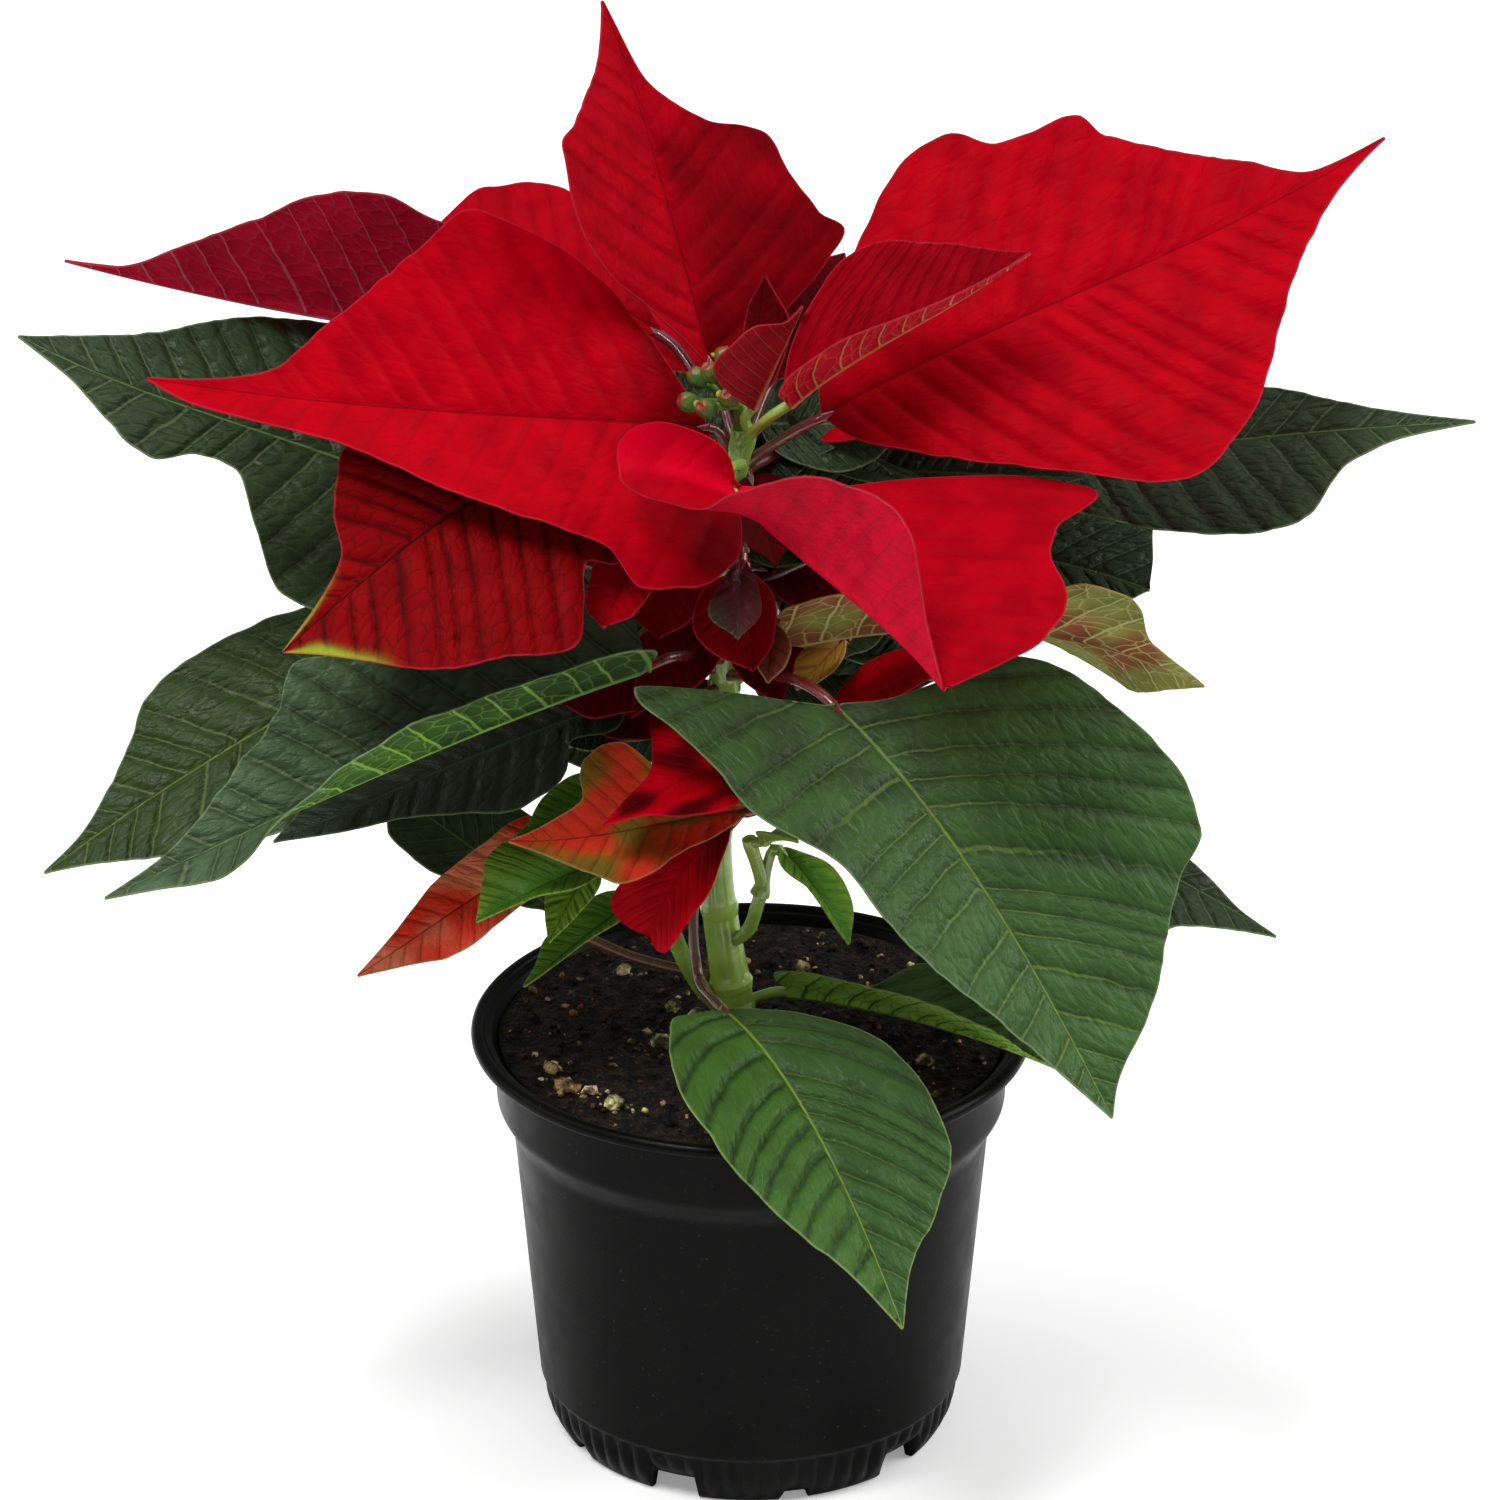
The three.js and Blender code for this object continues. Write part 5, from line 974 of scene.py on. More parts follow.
def blade_material(slot, face, tint):
    """The skin of one face: a coloured lamina with a midrib, side veins, a fine net and a pale margin."""
    finish = FINISHES[slot, face]
    n = Nodes(f"{slot}_{face}")
    place = n.add("UVMap", uv_map="blade").outputs[0]
    veins = n.add("Attribute", attribute_name="veins")
    phase, from_rib, to_margin = n.add("SeparateColor", {"Color": veins.outputs["Color"]}).outputs
    station = veins.outputs["Alpha"]
    outwards = n.ramp(from_rib, 0.0, VEIN_REACH)
    vein_paint = n.add("Attribute", attribute_name=face + "_vein")
    vein_colour, marks = vein_paint.outputs["Color"], vein_paint.outputs["Alpha"]
    # side veins
    drift = n.math("MULTIPLY", n.math("SUBTRACT", n.noise(place, scale=14.0), 0.5), VEIN_DRIFT)
    counted = n.math("ADD", phase, drift)
    from_vein = n.math("ABSOLUTE", n.math("SUBTRACT", n.math("FRACT", n.math("ADD", counted, 0.5)), 0.5))
    relief = n.math("MULTIPLY_ADD", marks, 0.5, 0.5)  # half of it goes with the marks
    breadth = n.math("MULTIPLY", n.ramp(outwards, 0.0, 1.0, *VEIN_BREADTH), relief)
    side = n.near(n.math("DIVIDE", from_vein, breadth), *LINE_EDGES)
    # painted shade in the hollow beside each side vein
    vein_shade = n.near(from_vein, 0.0, CREASE_SHADE_BREADTH)
    # the midrib
    rib_breadth = n.ramp(station, 0.0, 1.0, *RIB_BREADTH)
    rib = n.near(n.math("DIVIDE", from_rib, rib_breadth), *RIB_EDGES)
    # the net, whose cells reach from one side vein to the next
    across_cells = n.math("MULTIPLY", counted, CELLS_PER_VEIN)
    along_cells = n.math("DIVIDE", from_rib, CELL_LENGTH)
    laid = n.add("CombineXYZ", {0: across_cells, 1: along_cells}).outputs[0]
    bent = n.warp(laid, *NET_WARP)
    cells, fine = n.cells(bent, 1.0), n.cells(bent, FINE_NET)
    web = n.near(cells, 0.0, NET_LINE)
    # colours
    patches = n.mottle(place, scale=9.0, low=0.84, high=1.14, detail=4.0)
    # random patches, darkened by the painted shade beside the side veins
    shaded = n.math("SUBTRACT", patches, n.math("MULTIPLY", vein_shade, n.math("MULTIPLY", marks, finish.crease_shade)))
    lamina = n.mix(1.0, n.attribute(face), tint, "MULTIPLY")
    varied = n.mix(1.0, lamina, n.grey(shaded), "MULTIPLY")
    meshed = n.math("MULTIPLY", n.math("POWER", marks, 2.0), finish.web)
    netted = n.mix(n.math("MULTIPLY", web, meshed), varied, vein_colour)
    strength = n.math("MULTIPLY", n.ramp(outwards, 0.0, 1.0, finish.vein, finish.vein_end), marks)
    lined = n.mix(n.math("MULTIPLY", side, strength), netted, vein_colour)
    veined = n.mix(n.math("MULTIPLY", rib, RIB_STRENGTH), lined, n.attribute(face + "_rib"))
    edge_strength = n.math("MULTIPLY", n.math("MINIMUM", marks, 1.0), MARGIN_STRENGTH)
    edge = n.math("MULTIPLY", n.near(to_margin, *MARGIN_EDGES), edge_strength)
    colour = n.mix(edge, veined, finish.margin)
    # relief
    swell = n.ramp(n.math("MINIMUM", from_vein, n.math("MULTIPLY", from_rib, RIB_SLOPE)), 0.0, RELIEF_SLOPE)
    puffs = n.math("MULTIPLY", swell, n.math("MULTIPLY", relief, finish.puff))
    bumps = n.math("MULTIPLY", n.ramp(cells, 0.0, RELIEF_SLOPE), n.math("MULTIPLY", relief, finish.cell))
    pores = n.math("MULTIPLY", n.ramp(fine, 0.0, RELIEF_SLOPE), finish.cell * FINE_SHARE)
    grain = n.math("MULTIPLY", n.noise(place, scale=180.0), GRAIN)
    height = n.math("ADD", n.math("ADD", puffs, bumps), n.math("ADD", pores, grain))
    n.bump(n.math("MULTIPLY", height, MM))
    low, high = finish.roughness - ROUGHNESS_RANGE, finish.roughness + ROUGHNESS_RANGE
    rough = n.mottle(place, scale=20.0, low=low, high=high, detail=3.0)
    return n.finish(Base_Color=colour, Roughness=rough, Specular_IOR_Level=finish.gloss)


# ---------------- stem and stalks

STEM_ROUTE = (
    (-3, 0, 74), (-3, 0, 98), (-8, 1, 140), (-6, 1, 190), (-3, -1, 230), (-2.5, -4, 243), (-2.5, -4, 252))
STEM_RADII = (4.7, 4.7, 4.0, 3.5, 3.3, 2.7, 2.1)
STEM_SIDES = 28
STEM_SHARP_EDGE = math.radians(60)
STEM_RINGS = 150
SCARS = (112, 131, 152, 168, 187, 205, 221)  # heights at which old leaves stood
SCAR = (0.5, 1.3)  # how far a scar stands out, and half its height
JOINT = (0.35, 1.8)  # the same of the swelling under a stalk
JOINT_BED = 0.97  # share of the stem's radius that it rises from
SHOOTS = (  # route, radius
    (((-5, -1, 104), (-12, -3, 113), (-18, -9, 129), (-21, -11, 139), (-23, -14, 151)), 2.0),
    (((-6, 0, 122), (-1, -4, 127), (1.5, -8, 136), (2.5, -9, 141), (-0.5, -11, 154)), 1.6),
)
SHOOT_SIDES = 16
SHOOT_RINGS = 40
SHOOT_FOOT = (0.35, 0.06)  # how much thicker a shoot is at its foot, and the share of it that is thicker
SHOOT_HEAD = (0.12, 0.05, 0.95)  # the same near its top, and where
SHOOT_TINTS = (srgb("86a84a"), srgb("94b44c"))

STALK_RADIUS = 1.25
STALK_FLARE = (0.9, 3.0)  # how much thicker a stalk is where it leaves the stem, and how soon it thins
STALK_NECK = 4.0
STALK_OVERLAP = 3.0  # how far it runs on under its blade
STALK_THINS = 8.0  # distance from its end within which it may thin out
STALK_END = 0.35  # radius of its end
STALK_SINK = 0.9  # how far it sinks below the blade there
STALK_SIDES = 12
STALK_STEP = 1.6
LEAST_STALK_RINGS = 8
STALK_TINT_POWER = 0.7  # how soon the first tint gives way to the second
STALK_TINTS = {
    "red stalk": (srgb("58341e"), srgb("6c1420")),
    "green stalk": (srgb("7fa042"), srgb("8cae4c")),
    "brown stalk": (srgb("4c3424"), srgb("6a4434")),
}
STEM_TINTS = (srgb("a4c850"), srgb("74983c"))

CURVE_SAMPLES = 60
FINE = np.linspace(0, 1, CURVE_SAMPLES, endpoint=False)
FIRST_ACROSS = (0.3, 0.9, 0.2)  # a direction in which no stalk starts


def catmull_rom(points, share_of_span):
    """A centripetal curve through the points, with as many samples in each span as shares."""
    points = np.asarray(points, float)
    padded = np.concatenate([[2 * points[0] - points[1]], points, [2 * points[-1] - points[-2]]])
    t = share_of_span[:, None]
    spans = []
    for a, b, c, d in zip(padded, padded[1:], padded[2:], padded[3:]):
        first, second, third = (math.sqrt(np.linalg.norm(q - p)) for p, q in ((a, b), (b, c), (c, d)))
        leave = ((b - a) / first - (c - a) / (first + second) + (c - b) / second) * second
        arrive = ((c - b) / second - (d - b) / (second + third) + (d - c) / third) * second
        square, cube = 3 * (c - b) - 2 * leave - arrive, 2 * (b - c) + leave + arrive
        spans.append(b + leave * t + square * t ** 2 + cube * t ** 3)
    return np.concatenate([*spans, points[-1:]])


def evenly(points, count):
    """Points at equal steps along a finely sampled line."""
    travelled = np.concatenate([[0], np.cumsum(np.linalg.norm(np.diff(points, axis=0), axis=1))])
    places = np.linspace(0, travelled[-1], count)
    return np.stack([np.interp(places, travelled, points[:, k]) for k in range(3)], axis=1)


def length_of(points):
    """The length of a line through the points."""
    return float(np.linalg.norm(np.diff(points, axis=0), axis=1).sum())


def stem_centre(height):
    """The point of the stem's axis at a height."""
    route = np.array(STEM_ROUTE, float)
    return np.array([np.interp(height, route[:, 2], route[:, k]) for k in range(3)])


def stalk_curve(leaf):
    """The axis of a leaf's stalk, which runs on a little under the blade."""
    base, first_handle, *_ = midrib(leaf)
    along = unit(first_handle - base)
    under = np.cross(unit(np.cross(along, directions(leaf)[2])), along)
    start = np.array(leaf.start, float) if isinstance(leaf.start, tuple) else stem_centre(leaf.start)
    if leaf.via:
        line = catmull_rom([start, *leaf.via, base - along * STALK_NECK, base], FINE)
    else:
        third = np.linalg.norm(base - start) / 3
        line, _ = bezier((start, start + unit(base - start) * third, base - along * third, base),
                         np.linspace(0, 1, CURVE_SAMPLES))
    line = np.concatenate([line, [base + along * STALK_OVERLAP]])
    return line, under


def ring_axes(centres):
    """Two directions across a curve at each of its points, which turn with it and no more."""
    tangents = unit(np.gradient(centres, axis=0))
    side = unit(np.cross(tangents[0], FIRST_ACROSS))
    axes = []
    for tangent in tangents:
        side = unit(side - tangent * side.dot(tangent))
        axes.append((side, np.cross(tangent, side)))
    return axes


def tube(bm, layer, centres, radii, tints, sides):
    """A closed tube through the centres, with a radius and a tint at each."""
    circle = bmesh.ops.create_circle(bm, cap_ends=True, segments=sides, radius=1)["verts"]
    face = circle[0].link_faces[0]
    rings = zip(centres, radii, tints, ring_axes(centres))
    for step, (centre, radius, tint, (first, second)) in enumerate(rings):
        if step:
            grown = bmesh.ops.extrude_face_region(bm, geom=[face])["geom"]
            face = next(element for element in grown if isinstance(element, bmesh.types.BMFace))
        for k, vertex in enumerate(face.verts):
            angle = 2 * math.pi * k / sides
            offset = (first * math.cos(angle) + second * math.sin(angle)) * radius
            vertex.co = Vector((centre + offset) * MM)
            vertex[layer] = (*tint, 1)


def blend_tints(tints, shares):
    """Tints from the first to the last, one for each share."""
    first, last = (np.array(tint) for tint in tints)
    return first + (last - first) * np.asarray(shares)[:, None]


def swelling(places, middle, height, reach):
    """A rounded swelling about the middle."""
    return height * np.exp(-((places - middle) / reach) ** 2)


def add_stem(bm, layer, tints):
    """The upright stem, swollen at its scars and under its stalks."""
    centres = evenly(catmull_rom(STEM_ROUTE, FINE), STEM_RINGS)
    shares = np.linspace(0, 1, STEM_RINGS)
    radii = through(STEM_RADII, shares)
    for height in SCARS:
        radii = radii + swelling(centres[:, 2], height, *SCAR)
    for height in sorted({leaf.start for leaf in LEAVES if not isinstance(leaf.start, tuple)}):
        radii = np.maximum(radii, JOINT_BED * radii + swelling(centres[:, 2], height, *JOINT))
    tube(bm, layer, centres, radii, blend_tints(tints, shares), STEM_SIDES)


def add_shoots(bm, layer):
    """The side shoots low on the stem."""
    shares = np.linspace(0, 1, SHOOT_RINGS)
    for route, radius in SHOOTS:
        centres = evenly(catmull_rom(route, FINE), SHOOT_RINGS)
        head, reach, middle = SHOOT_HEAD
        radii = radius * (1 + swelling(shares, 0, *SHOOT_FOOT) + swelling(shares, middle, head, reach))
        tube(bm, layer, centres, radii, blend_tints(SHOOT_TINTS, shares), SHOOT_SIDES)


def add_stalk(bm, layer, leaf, radius):
    """A stalk that flares where it leaves the stem and thins out under its blade."""
    line, under = stalk_curve(leaf)
    length = length_of(line)
    count = max(LEAST_STALK_RINGS, round(length / STALK_STEP))
    centres = evenly(line, count)
    shares = np.linspace(0, 1, count)
    from_start = shares * length
    to_end = length - from_start
    flared = radius * (1 + swelling(from_start, 0, *STALK_FLARE))
    thinned = STALK_END + (radius - STALK_END) * np.clip(to_end / STALK_OVERLAP, 0, 1)
    radii = np.where(to_end > STALK_THINS, flared, np.minimum(flared, thinned))
    sink = np.clip(1 - to_end / (3 * STALK_OVERLAP), 0, 1)
    centres = centres - under * (sink ** 2 * (3 - 2 * sink))[:, None] * STALK_SINK
    tints = blend_tints(STALK_TINTS[leaf.stalk], shares ** STALK_TINT_POWER)
    tube(bm, layer, centres, radii, tints, STALK_SIDES)


def stem_material():
    """Smooth green bark with pale specks and a soft gloss."""
    n = Nodes("stem_green")
    place = n.add("TexCoord").outputs["Object"]
    cloud = n.mottle(place, scale=160.0, low=0.85, high=1.15, detail=3.0)
    tint = n.mix(1.0, n.attribute("tint"), n.grey(cloud), "MULTIPLY")
    specks = n.ramp(n.noise(place, scale=1300.0), 0.64, 0.74, out_high=0.25)
    n.bump(n.math("MULTIPLY", n.noise(place, scale=300.0), 0.12 * MM))
    return n.finish(Base_Color=n.mix(specks, tint, srgb("a8a078")), Specular_IOR_Level=0.9,
                    Roughness=n.mottle(place, scale=260.0, low=0.18, high=0.28))


# ---------------- flower buds

BUD_FOOT = (-2.5, -4, 258)  # where the buds' stalks meet
BUD_STEM_FOOT = (-2.5, -4, 251)  # where the column that carries them starts
BUDS = (
    (-14, -8, 260), (-12, -3, 264), (-9, -10, 268), (-6, -1, 268), (-3, -7, 267), (-5, -13, 263),
    (-10, -14, 261))
BUD_RADIUS = 2.3
BUD_HEIGHT = 6.0
BUD_UPRIGHT = 4.0  # how much more upright a bud stands than its stalk
BUD_SEED = 3
WAIST = 0.28  # how much narrower a bud gets towards its mouth
LOBES = (5, 0.1)  # count and depth of the lobes round the mouth
MOUTH = (0.86, 1.05)  # share of the half height from which the mouth sinks in, and how deep it is
RED_MOUTH = (0.45, 2.2)  # share of the half height from which the bud turns red, and how soon
GLAND_PLACE = (2.07, 0.9)  # how far the nectar gland stands out, and how high
GLAND_SIZE = (0.75, 0.95, 0.6)  # outwards, across and up
GLAND_TILT = 0.3
BUD_STALK = (1.1, 12, 8)  # radius, sides and rings
BUD_COLUMN = (1.6, 16, 8)  # the same of the column
BUD_GREEN, BUD_TIP, GLAND = srgb("4c6c24"), srgb("84301c"), srgb("a89430")
BUD_STALK_TINT = srgb("86a04a")


def add_bud(bm, layer, place, rng):
    """An egg-shaped cup with a lobed, reddish mouth and a nectar gland on its side."""
    centre, foot = np.array(place, float), np.array(BUD_FOOT, float)
    turn = Vector(unit(centre - foot + (0, 0, BUD_UPRIGHT))).to_track_quat("Z", "Y").to_matrix().to_4x4()
    matrix = Matrix.Translation(Vector(centre * MM)) @ turn
    cup = bmesh.ops.create_uvsphere(bm, u_segments=20, v_segments=14, radius=1)["verts"]
    spin = rng.uniform(0, math.tau)
    count, depth = LOBES
    sinks, sunk = MOUTH
    turns_red, redness = RED_MOUTH
    for vertex in cup:
        x, y, z = vertex.co
        lobes = 1 + depth * max(z, 0) * math.cos(count * math.atan2(y, x) + spin)
        radius = BUD_RADIUS * (1 - WAIST * max(z, 0) ** 2) * lobes
        height = z * BUD_HEIGHT / 2 - sunk * max(0, z - sinks) / (1 - sinks)
        vertex.co = matrix @ (Vector((x * radius, y * radius, height)) * MM)
        red = min(1, max(0, (z - turns_red) * redness))
        vertex[layer] = (*(g + (t - g) * red for g, t in zip(BUD_GREEN, BUD_TIP)), 1)
    side = Matrix.Rotation(rng.uniform(0, math.tau), 3, "Z")
    out, up = GLAND_PLACE
    gland = bmesh.ops.create_uvsphere(bm, u_segments=12, v_segments=8, radius=1)["verts"]
    for vertex in gland:
        x, y, z = (value * size for value, size in zip(vertex.co, GLAND_SIZE))
        tilted = up + z + GLAND_TILT * vertex.co.x
        vertex.co = matrix @ (side @ Vector((out + x, y, tilted)) * MM)
        vertex[layer] = (*GLAND, 1)
    add_rod(bm, layer, (foot, centre), (BUD_STALK_TINT, BUD_GREEN), BUD_STALK)


def add_rod(bm, layer, ends, tints, size):
    """A straight round rod between two points."""
    radius, sides, rings = size
    shares = np.linspace(0, 1, rings)
    tube(bm, layer, np.linspace(*ends, rings), np.full(rings, radius), blend_tints(tints, shares), sides)


def bud_material():
    """Waxy green cups."""
    n = Nodes("cyathium")
    place = n.add("TexCoord").outputs["Object"]
    shade = n.mottle(place, scale=700.0, low=0.82, high=1.12, detail=3.0)
    n.bump(n.math("MULTIPLY", n.noise(place, scale=900.0, detail=3.0), 0.3 * MM))
    return n.finish(Base_Color=n.mix(1.0, n.attribute("tint"), n.grey(shade), "MULTIPLY"),
                    Roughness=n.mottle(place, scale=300.0, low=0.3, high=0.42), Specular_IOR_Level=0.45)


# ---------------- soil

SOIL_EDGE = 99.0  # level at the pot's wall
SOIL_HEAP = 2.4  # how far it rises around the stem
SOIL_SIDES = 140
SOIL_RINGS = 34
# Radius and height of the soil's outline, from the axis along the floor and up the pot's wall.
SOIL_SIDE_WALL = ((0, 5.5), (44.2, 5.5), (48.0, 12), (53.9, 78.95), (57.6, 84.95), (57.6, 97.6))
SOIL_WIDTH = 58.6  # radius of its surface
SOIL_RISE = 0.01  # how far the flat surface stands above its edge until the lumps are set
SOIL_LUMPS = ((9, 0, 1.5), (3.2, 4, 1.0), (1.3, 9, 0.55))  # span, place in the noise, height
LEVEL_EDGE = (12, 0.2)  # how soon the lumps set in from the wall, and what is left of them there
SOIL_DARK = srgb("16100c")

CRUMBS = 1100
CRUMB_SEED = 7
CRUMB_SIZES = (0.5, 1.9)
CRUMB_POWER = 1.8  # how much rarer the larger ones are
CRUMB_SCALES = (0.7, 1.1)  # and how far they are scaled again
CRUMB_SPREAD = 0.96  # share of the soil's radius that they lie on
CRUMB_TINTS = (  # share of the crumbs up to this one, tint
    (0.45, srgb("1a120c")), (0.64, srgb("3c2414")), (0.8, srgb("6c4424")), (0.91, srgb("94704c")),
    (1.0, srgb("bca880")))
CRUMB_SHAPE = ((0.6, 1.0), (0.4, 0.8), (0.35, 0.65))  # least and most of its size, along three axes
CRUMB_TILT = 0.5
CRUMB_ROUGHNESS = (0.55, 1.7)  # how rough a crumb is, and how fine its bumps are
CRUMB_LIFT = 0.35  # how much of its half height shows
FINE_CRUMB = 2.2  # size from which a crumb has more faces
PLACED_CRUMBS = (  # x, y, size, tint
    (-46, -22, 3.4, "a08860"), (-42, -29, 4.2, "8c6c4c"), (-37, -32, 3.0, "c0a888"),
    (-31, -38, 3.6, "a8a070"), (-21, -9, 4.0, "b8b078"), (-18, 8, 3.0, "b4a874"), (-13, 3, 3.4, "b8ac7c"),
    (-13, -22, 3.4, "b08858"), (-5, -38, 3.2, "a09468"), (-8, -43, 2.6, "b8b090"), (-1, -44, 2.4, "a89878"),
    (40, -18, 3.2, "b0a074"), (34, 12, 3.0, "a08c60"), (12, 30, 3.2, "a89868"), (-30, 28, 3.4, "b4a87c"),
    (46, -2, 2.6, "907850"))
PLACED_SCALE = 1.9  # how much larger the placed crumbs are made than they are listed
FRAGMENTS = 6  # small pieces around each placed crumb
FRAGMENT_SPREAD = 0.7
FRAGMENT_SIZES = (0.3, 0.9)


def soil_height(x, y):
    """Level of the soil's uneven surface."""
    share = min(math.hypot(x, y) / SOIL_WIDTH, 1)
    lumps = sum(
        height * noise.noise(Vector((x / span, y / span, place))) for span, place, height in SOIL_LUMPS)
    rise, left = LEVEL_EDGE
    return SOIL_EDGE + SOIL_HEAP * (1 - share ** 2) + lumps * min(1, (1 - share) * rise + left)


def spun(bm, profile, steps):
    """A solid turned about the z axis from (radius, height) points that start and end on it."""
    verts = [bm.verts.new((radius * MM, 0, height * MM)) for radius, height in profile]
    edges = [bm.edges.new(pair) for pair in zip(verts, verts[1:])]
    bmesh.ops.spin(bm, geom=[*verts, *edges], cent=(0, 0, 0), axis=(0, 0, 1), angle=math.tau, steps=steps,
                   use_merge=True)
    bmesh.ops.remove_doubles(bm, verts=bm.verts[:], dist=MERGED)
    bmesh.ops.recalc_face_normals(bm, faces=bm.faces[:])


def add_soil_block(bm, layer, tint):
    """The body of the soil, with an uneven top."""
    surface = [(SOIL_WIDTH * (1 - k / SOIL_RINGS), SOIL_EDGE + SOIL_RISE) for k in range(SOIL_RINGS + 1)]
    spun(bm, [*SOIL_SIDE_WALL, *surface], SOIL_SIDES)
    for vertex in bm.verts:
        x, y, z = (value / MM for value in vertex.co)
        if z > SOIL_EDGE:
            vertex.co.z = soil_height(x, y) * MM
        vertex[layer] = (*tint, 1)


def add_crumb(bm, layer, place, size, tint, rng):
    """One irregular crumb, half sunk into the soil."""
    x, y = place
    detail = 2 if size > FINE_CRUMB else 1
    verts = bmesh.ops.create_icosphere(bm, subdivisions=detail, radius=1)["verts"]
    turn = Matrix.Rotation(rng.uniform(0, math.tau), 3, "Z")
    turn = turn @ Matrix.Rotation(rng.uniform(-CRUMB_TILT, CRUMB_TILT), 3, "X")
    shape = Vector([rng.uniform(*limits) for limits in CRUMB_SHAPE]) * size / 2
    seed = rng.uniform(0, 100)
    amount, fineness = CRUMB_ROUGHNESS
    for vertex in verts:
        rough = 1 + amount * noise.noise(vertex.co * fineness + Vector((seed, 0, 0)))
        local = turn @ Vector(a * b * rough for a, b in zip(vertex.co, shape))
        vertex.co = (Vector((x, y, soil_height(x, y) + shape.z * CRUMB_LIFT)) + local) * MM
        vertex[layer] = (*tint, 1)


def add_crumbs(bm, layer, count, seed):
    """Pale crumbs at set places, each in its own fragments, and many small ones all over."""
    rng = random.Random(seed)
    for x, y, size, code in PLACED_CRUMBS:
        add_crumb(bm, layer, (x, y), size * PLACED_SCALE, srgb(code), rng)
        for _ in range(FRAGMENTS):
            near = (x + rng.gauss(0, size * FRAGMENT_SPREAD), y + rng.gauss(0, size * FRAGMENT_SPREAD))
            add_crumb(bm, layer, near, size * rng.uniform(*FRAGMENT_SIZES), srgb(code), rng)
    for _ in range(count):
        angle = rng.uniform(0, math.tau)
        reach = SOIL_WIDTH * CRUMB_SPREAD * math.sqrt(rng.random())
        pick = rng.random()
        tint = next(tint for most, tint in CRUMB_TINTS if pick <= most)
        place = (reach * math.cos(angle), reach * math.sin(angle))
        size = rng.uniform(*CRUMB_SIZES) ** CRUMB_POWER * rng.uniform(*CRUMB_SCALES)
        add_crumb(bm, layer, place, size, tint, rng)


def soil_material():
    """Dark moist peat with tan bark and pale perlite."""
    n = Nodes("soil")
    place = n.add("TexCoord").outputs["Object"]
    clods = n.ramp(n.noise(place, scale=300.0, detail=7.0), 0.42, 0.68, 0.12, 3.2)
    peat = n.mix(1.0, n.attribute("tint"), n.grey(clods), "MULTIPLY")
    fibres = n.ramp(n.noise(n.warp(place, 300.0, 4 * MM), scale=1100.0), 0.6, 0.7, out_high=0.5)
    n.bump(n.math("MULTIPLY", n.noise(place, scale=900.0, detail=5.0), 2.6 * MM))
    return n.finish(Base_Color=n.mix(fibres, peat, srgb("74522e")),
                    Roughness=n.mottle(place, scale=500.0, low=0.55, high=0.9), Specular_IOR_Level=0.22)


# ---------------- pot

POT_STEPS = 396
POT_PROFILE = (  # radius, height, and how far the corner is rounded
    (0, 3.7, 0), (42.9, 3.7, 0.5), (42.9, 0, 0.4), (44.8, 0, 0.5), (45.8, 1.2, 0.6), (48.0, 6, 3.0),
    (48.9, 12.4, 0.4), (49.8, 13.4, 0.5), (49.9, 15.0, 0), (55.5, 78, 1.6), (59.2, 84, 1.6),
    (59.2, 98.8, 0.6), (63.6, 98.8, 0.5), (65.0, 99.5, 0.7), (65.0, 101.0, 0.8), (64.0, 102.0, 0.6),
    (62.4, 102.0, 0.7), (61.6, 100.9, 0.5), (60.4, 100.7, 0.5), (57.9, 97.4, 0.8), (57.9, 84.6, 0.6),
    (54.2, 78.6, 1.0), (48.3, 12, 1.0), (44.8, 5.2, 0.8), (0, 5.2, 0))
ROUND_STEPS = 5
CORNER_SHARE = 0.49  # most of a side that the rounding of one corner takes
POT_SHARP_EDGE = math.radians(40)
FLUTES = 66
FLUTE_DEPTH = 0.9
FLUTE_SPAN = (1.5, 13.0)  # heights between which the flutes run
FLUTE_POWER = 0.6  # how full their ends are
FLUTE_MIDDLE = 0.64  # mean of the flutes' wave, which keeps the foot's mean radius
OUTER_RADIUS = 44.9  # the least radius of the foot's outer face
NOTCHES = (  # count, angle of the first from the front towards +X, width, height, in degrees and millimetres
    (5, -23, 15, 5), (5, 13, 8, 2))
NOTCH_TOP = 12.0
NOTCH_EDGE = 1.1
NOTCH_FADE = (36.0, 42.0)  # radii between which the notches fade into the floor
POT_COLOUR = srgb("0b0b0a")
POT_SHADES = (0.55, 1.0)  # least and most of it, in soft clouds


def rounded(profile):
    """The profile with its corners rounded, in a few steps each."""
    points = []
    for k, (radius, height, reach) in enumerate(profile):
        corner = np.array((radius, height), float)
        if not reach:
            points.append(tuple(corner))
            continue
        ways = (np.array(profile[k + step][:2], float) - corner for step in (-1, 1))
        start, end = (corner + unit(way) * min(reach, np.linalg.norm(way) * CORNER_SHARE) for way in ways)
        for t in np.linspace(0, 1, ROUND_STEPS):
            points.append(tuple(start * (1 - t) ** 2 + corner * 2 * t * (1 - t) + end * t ** 2))
    return points


def notch_height(angle):
    """How high the foot is cut away at an angle, in degrees from the front towards +X."""
    height = 0.0
    for count, first, width, top in NOTCHES:
        pitch = 360 / count
        off = abs((angle - first + pitch / 2) % pitch - pitch / 2)
        inside = min(1, max(0, (width / 2 - off) / NOTCH_EDGE))
        height = max(height, top * math.sqrt(1 - (1 - inside) ** 2))
    return height


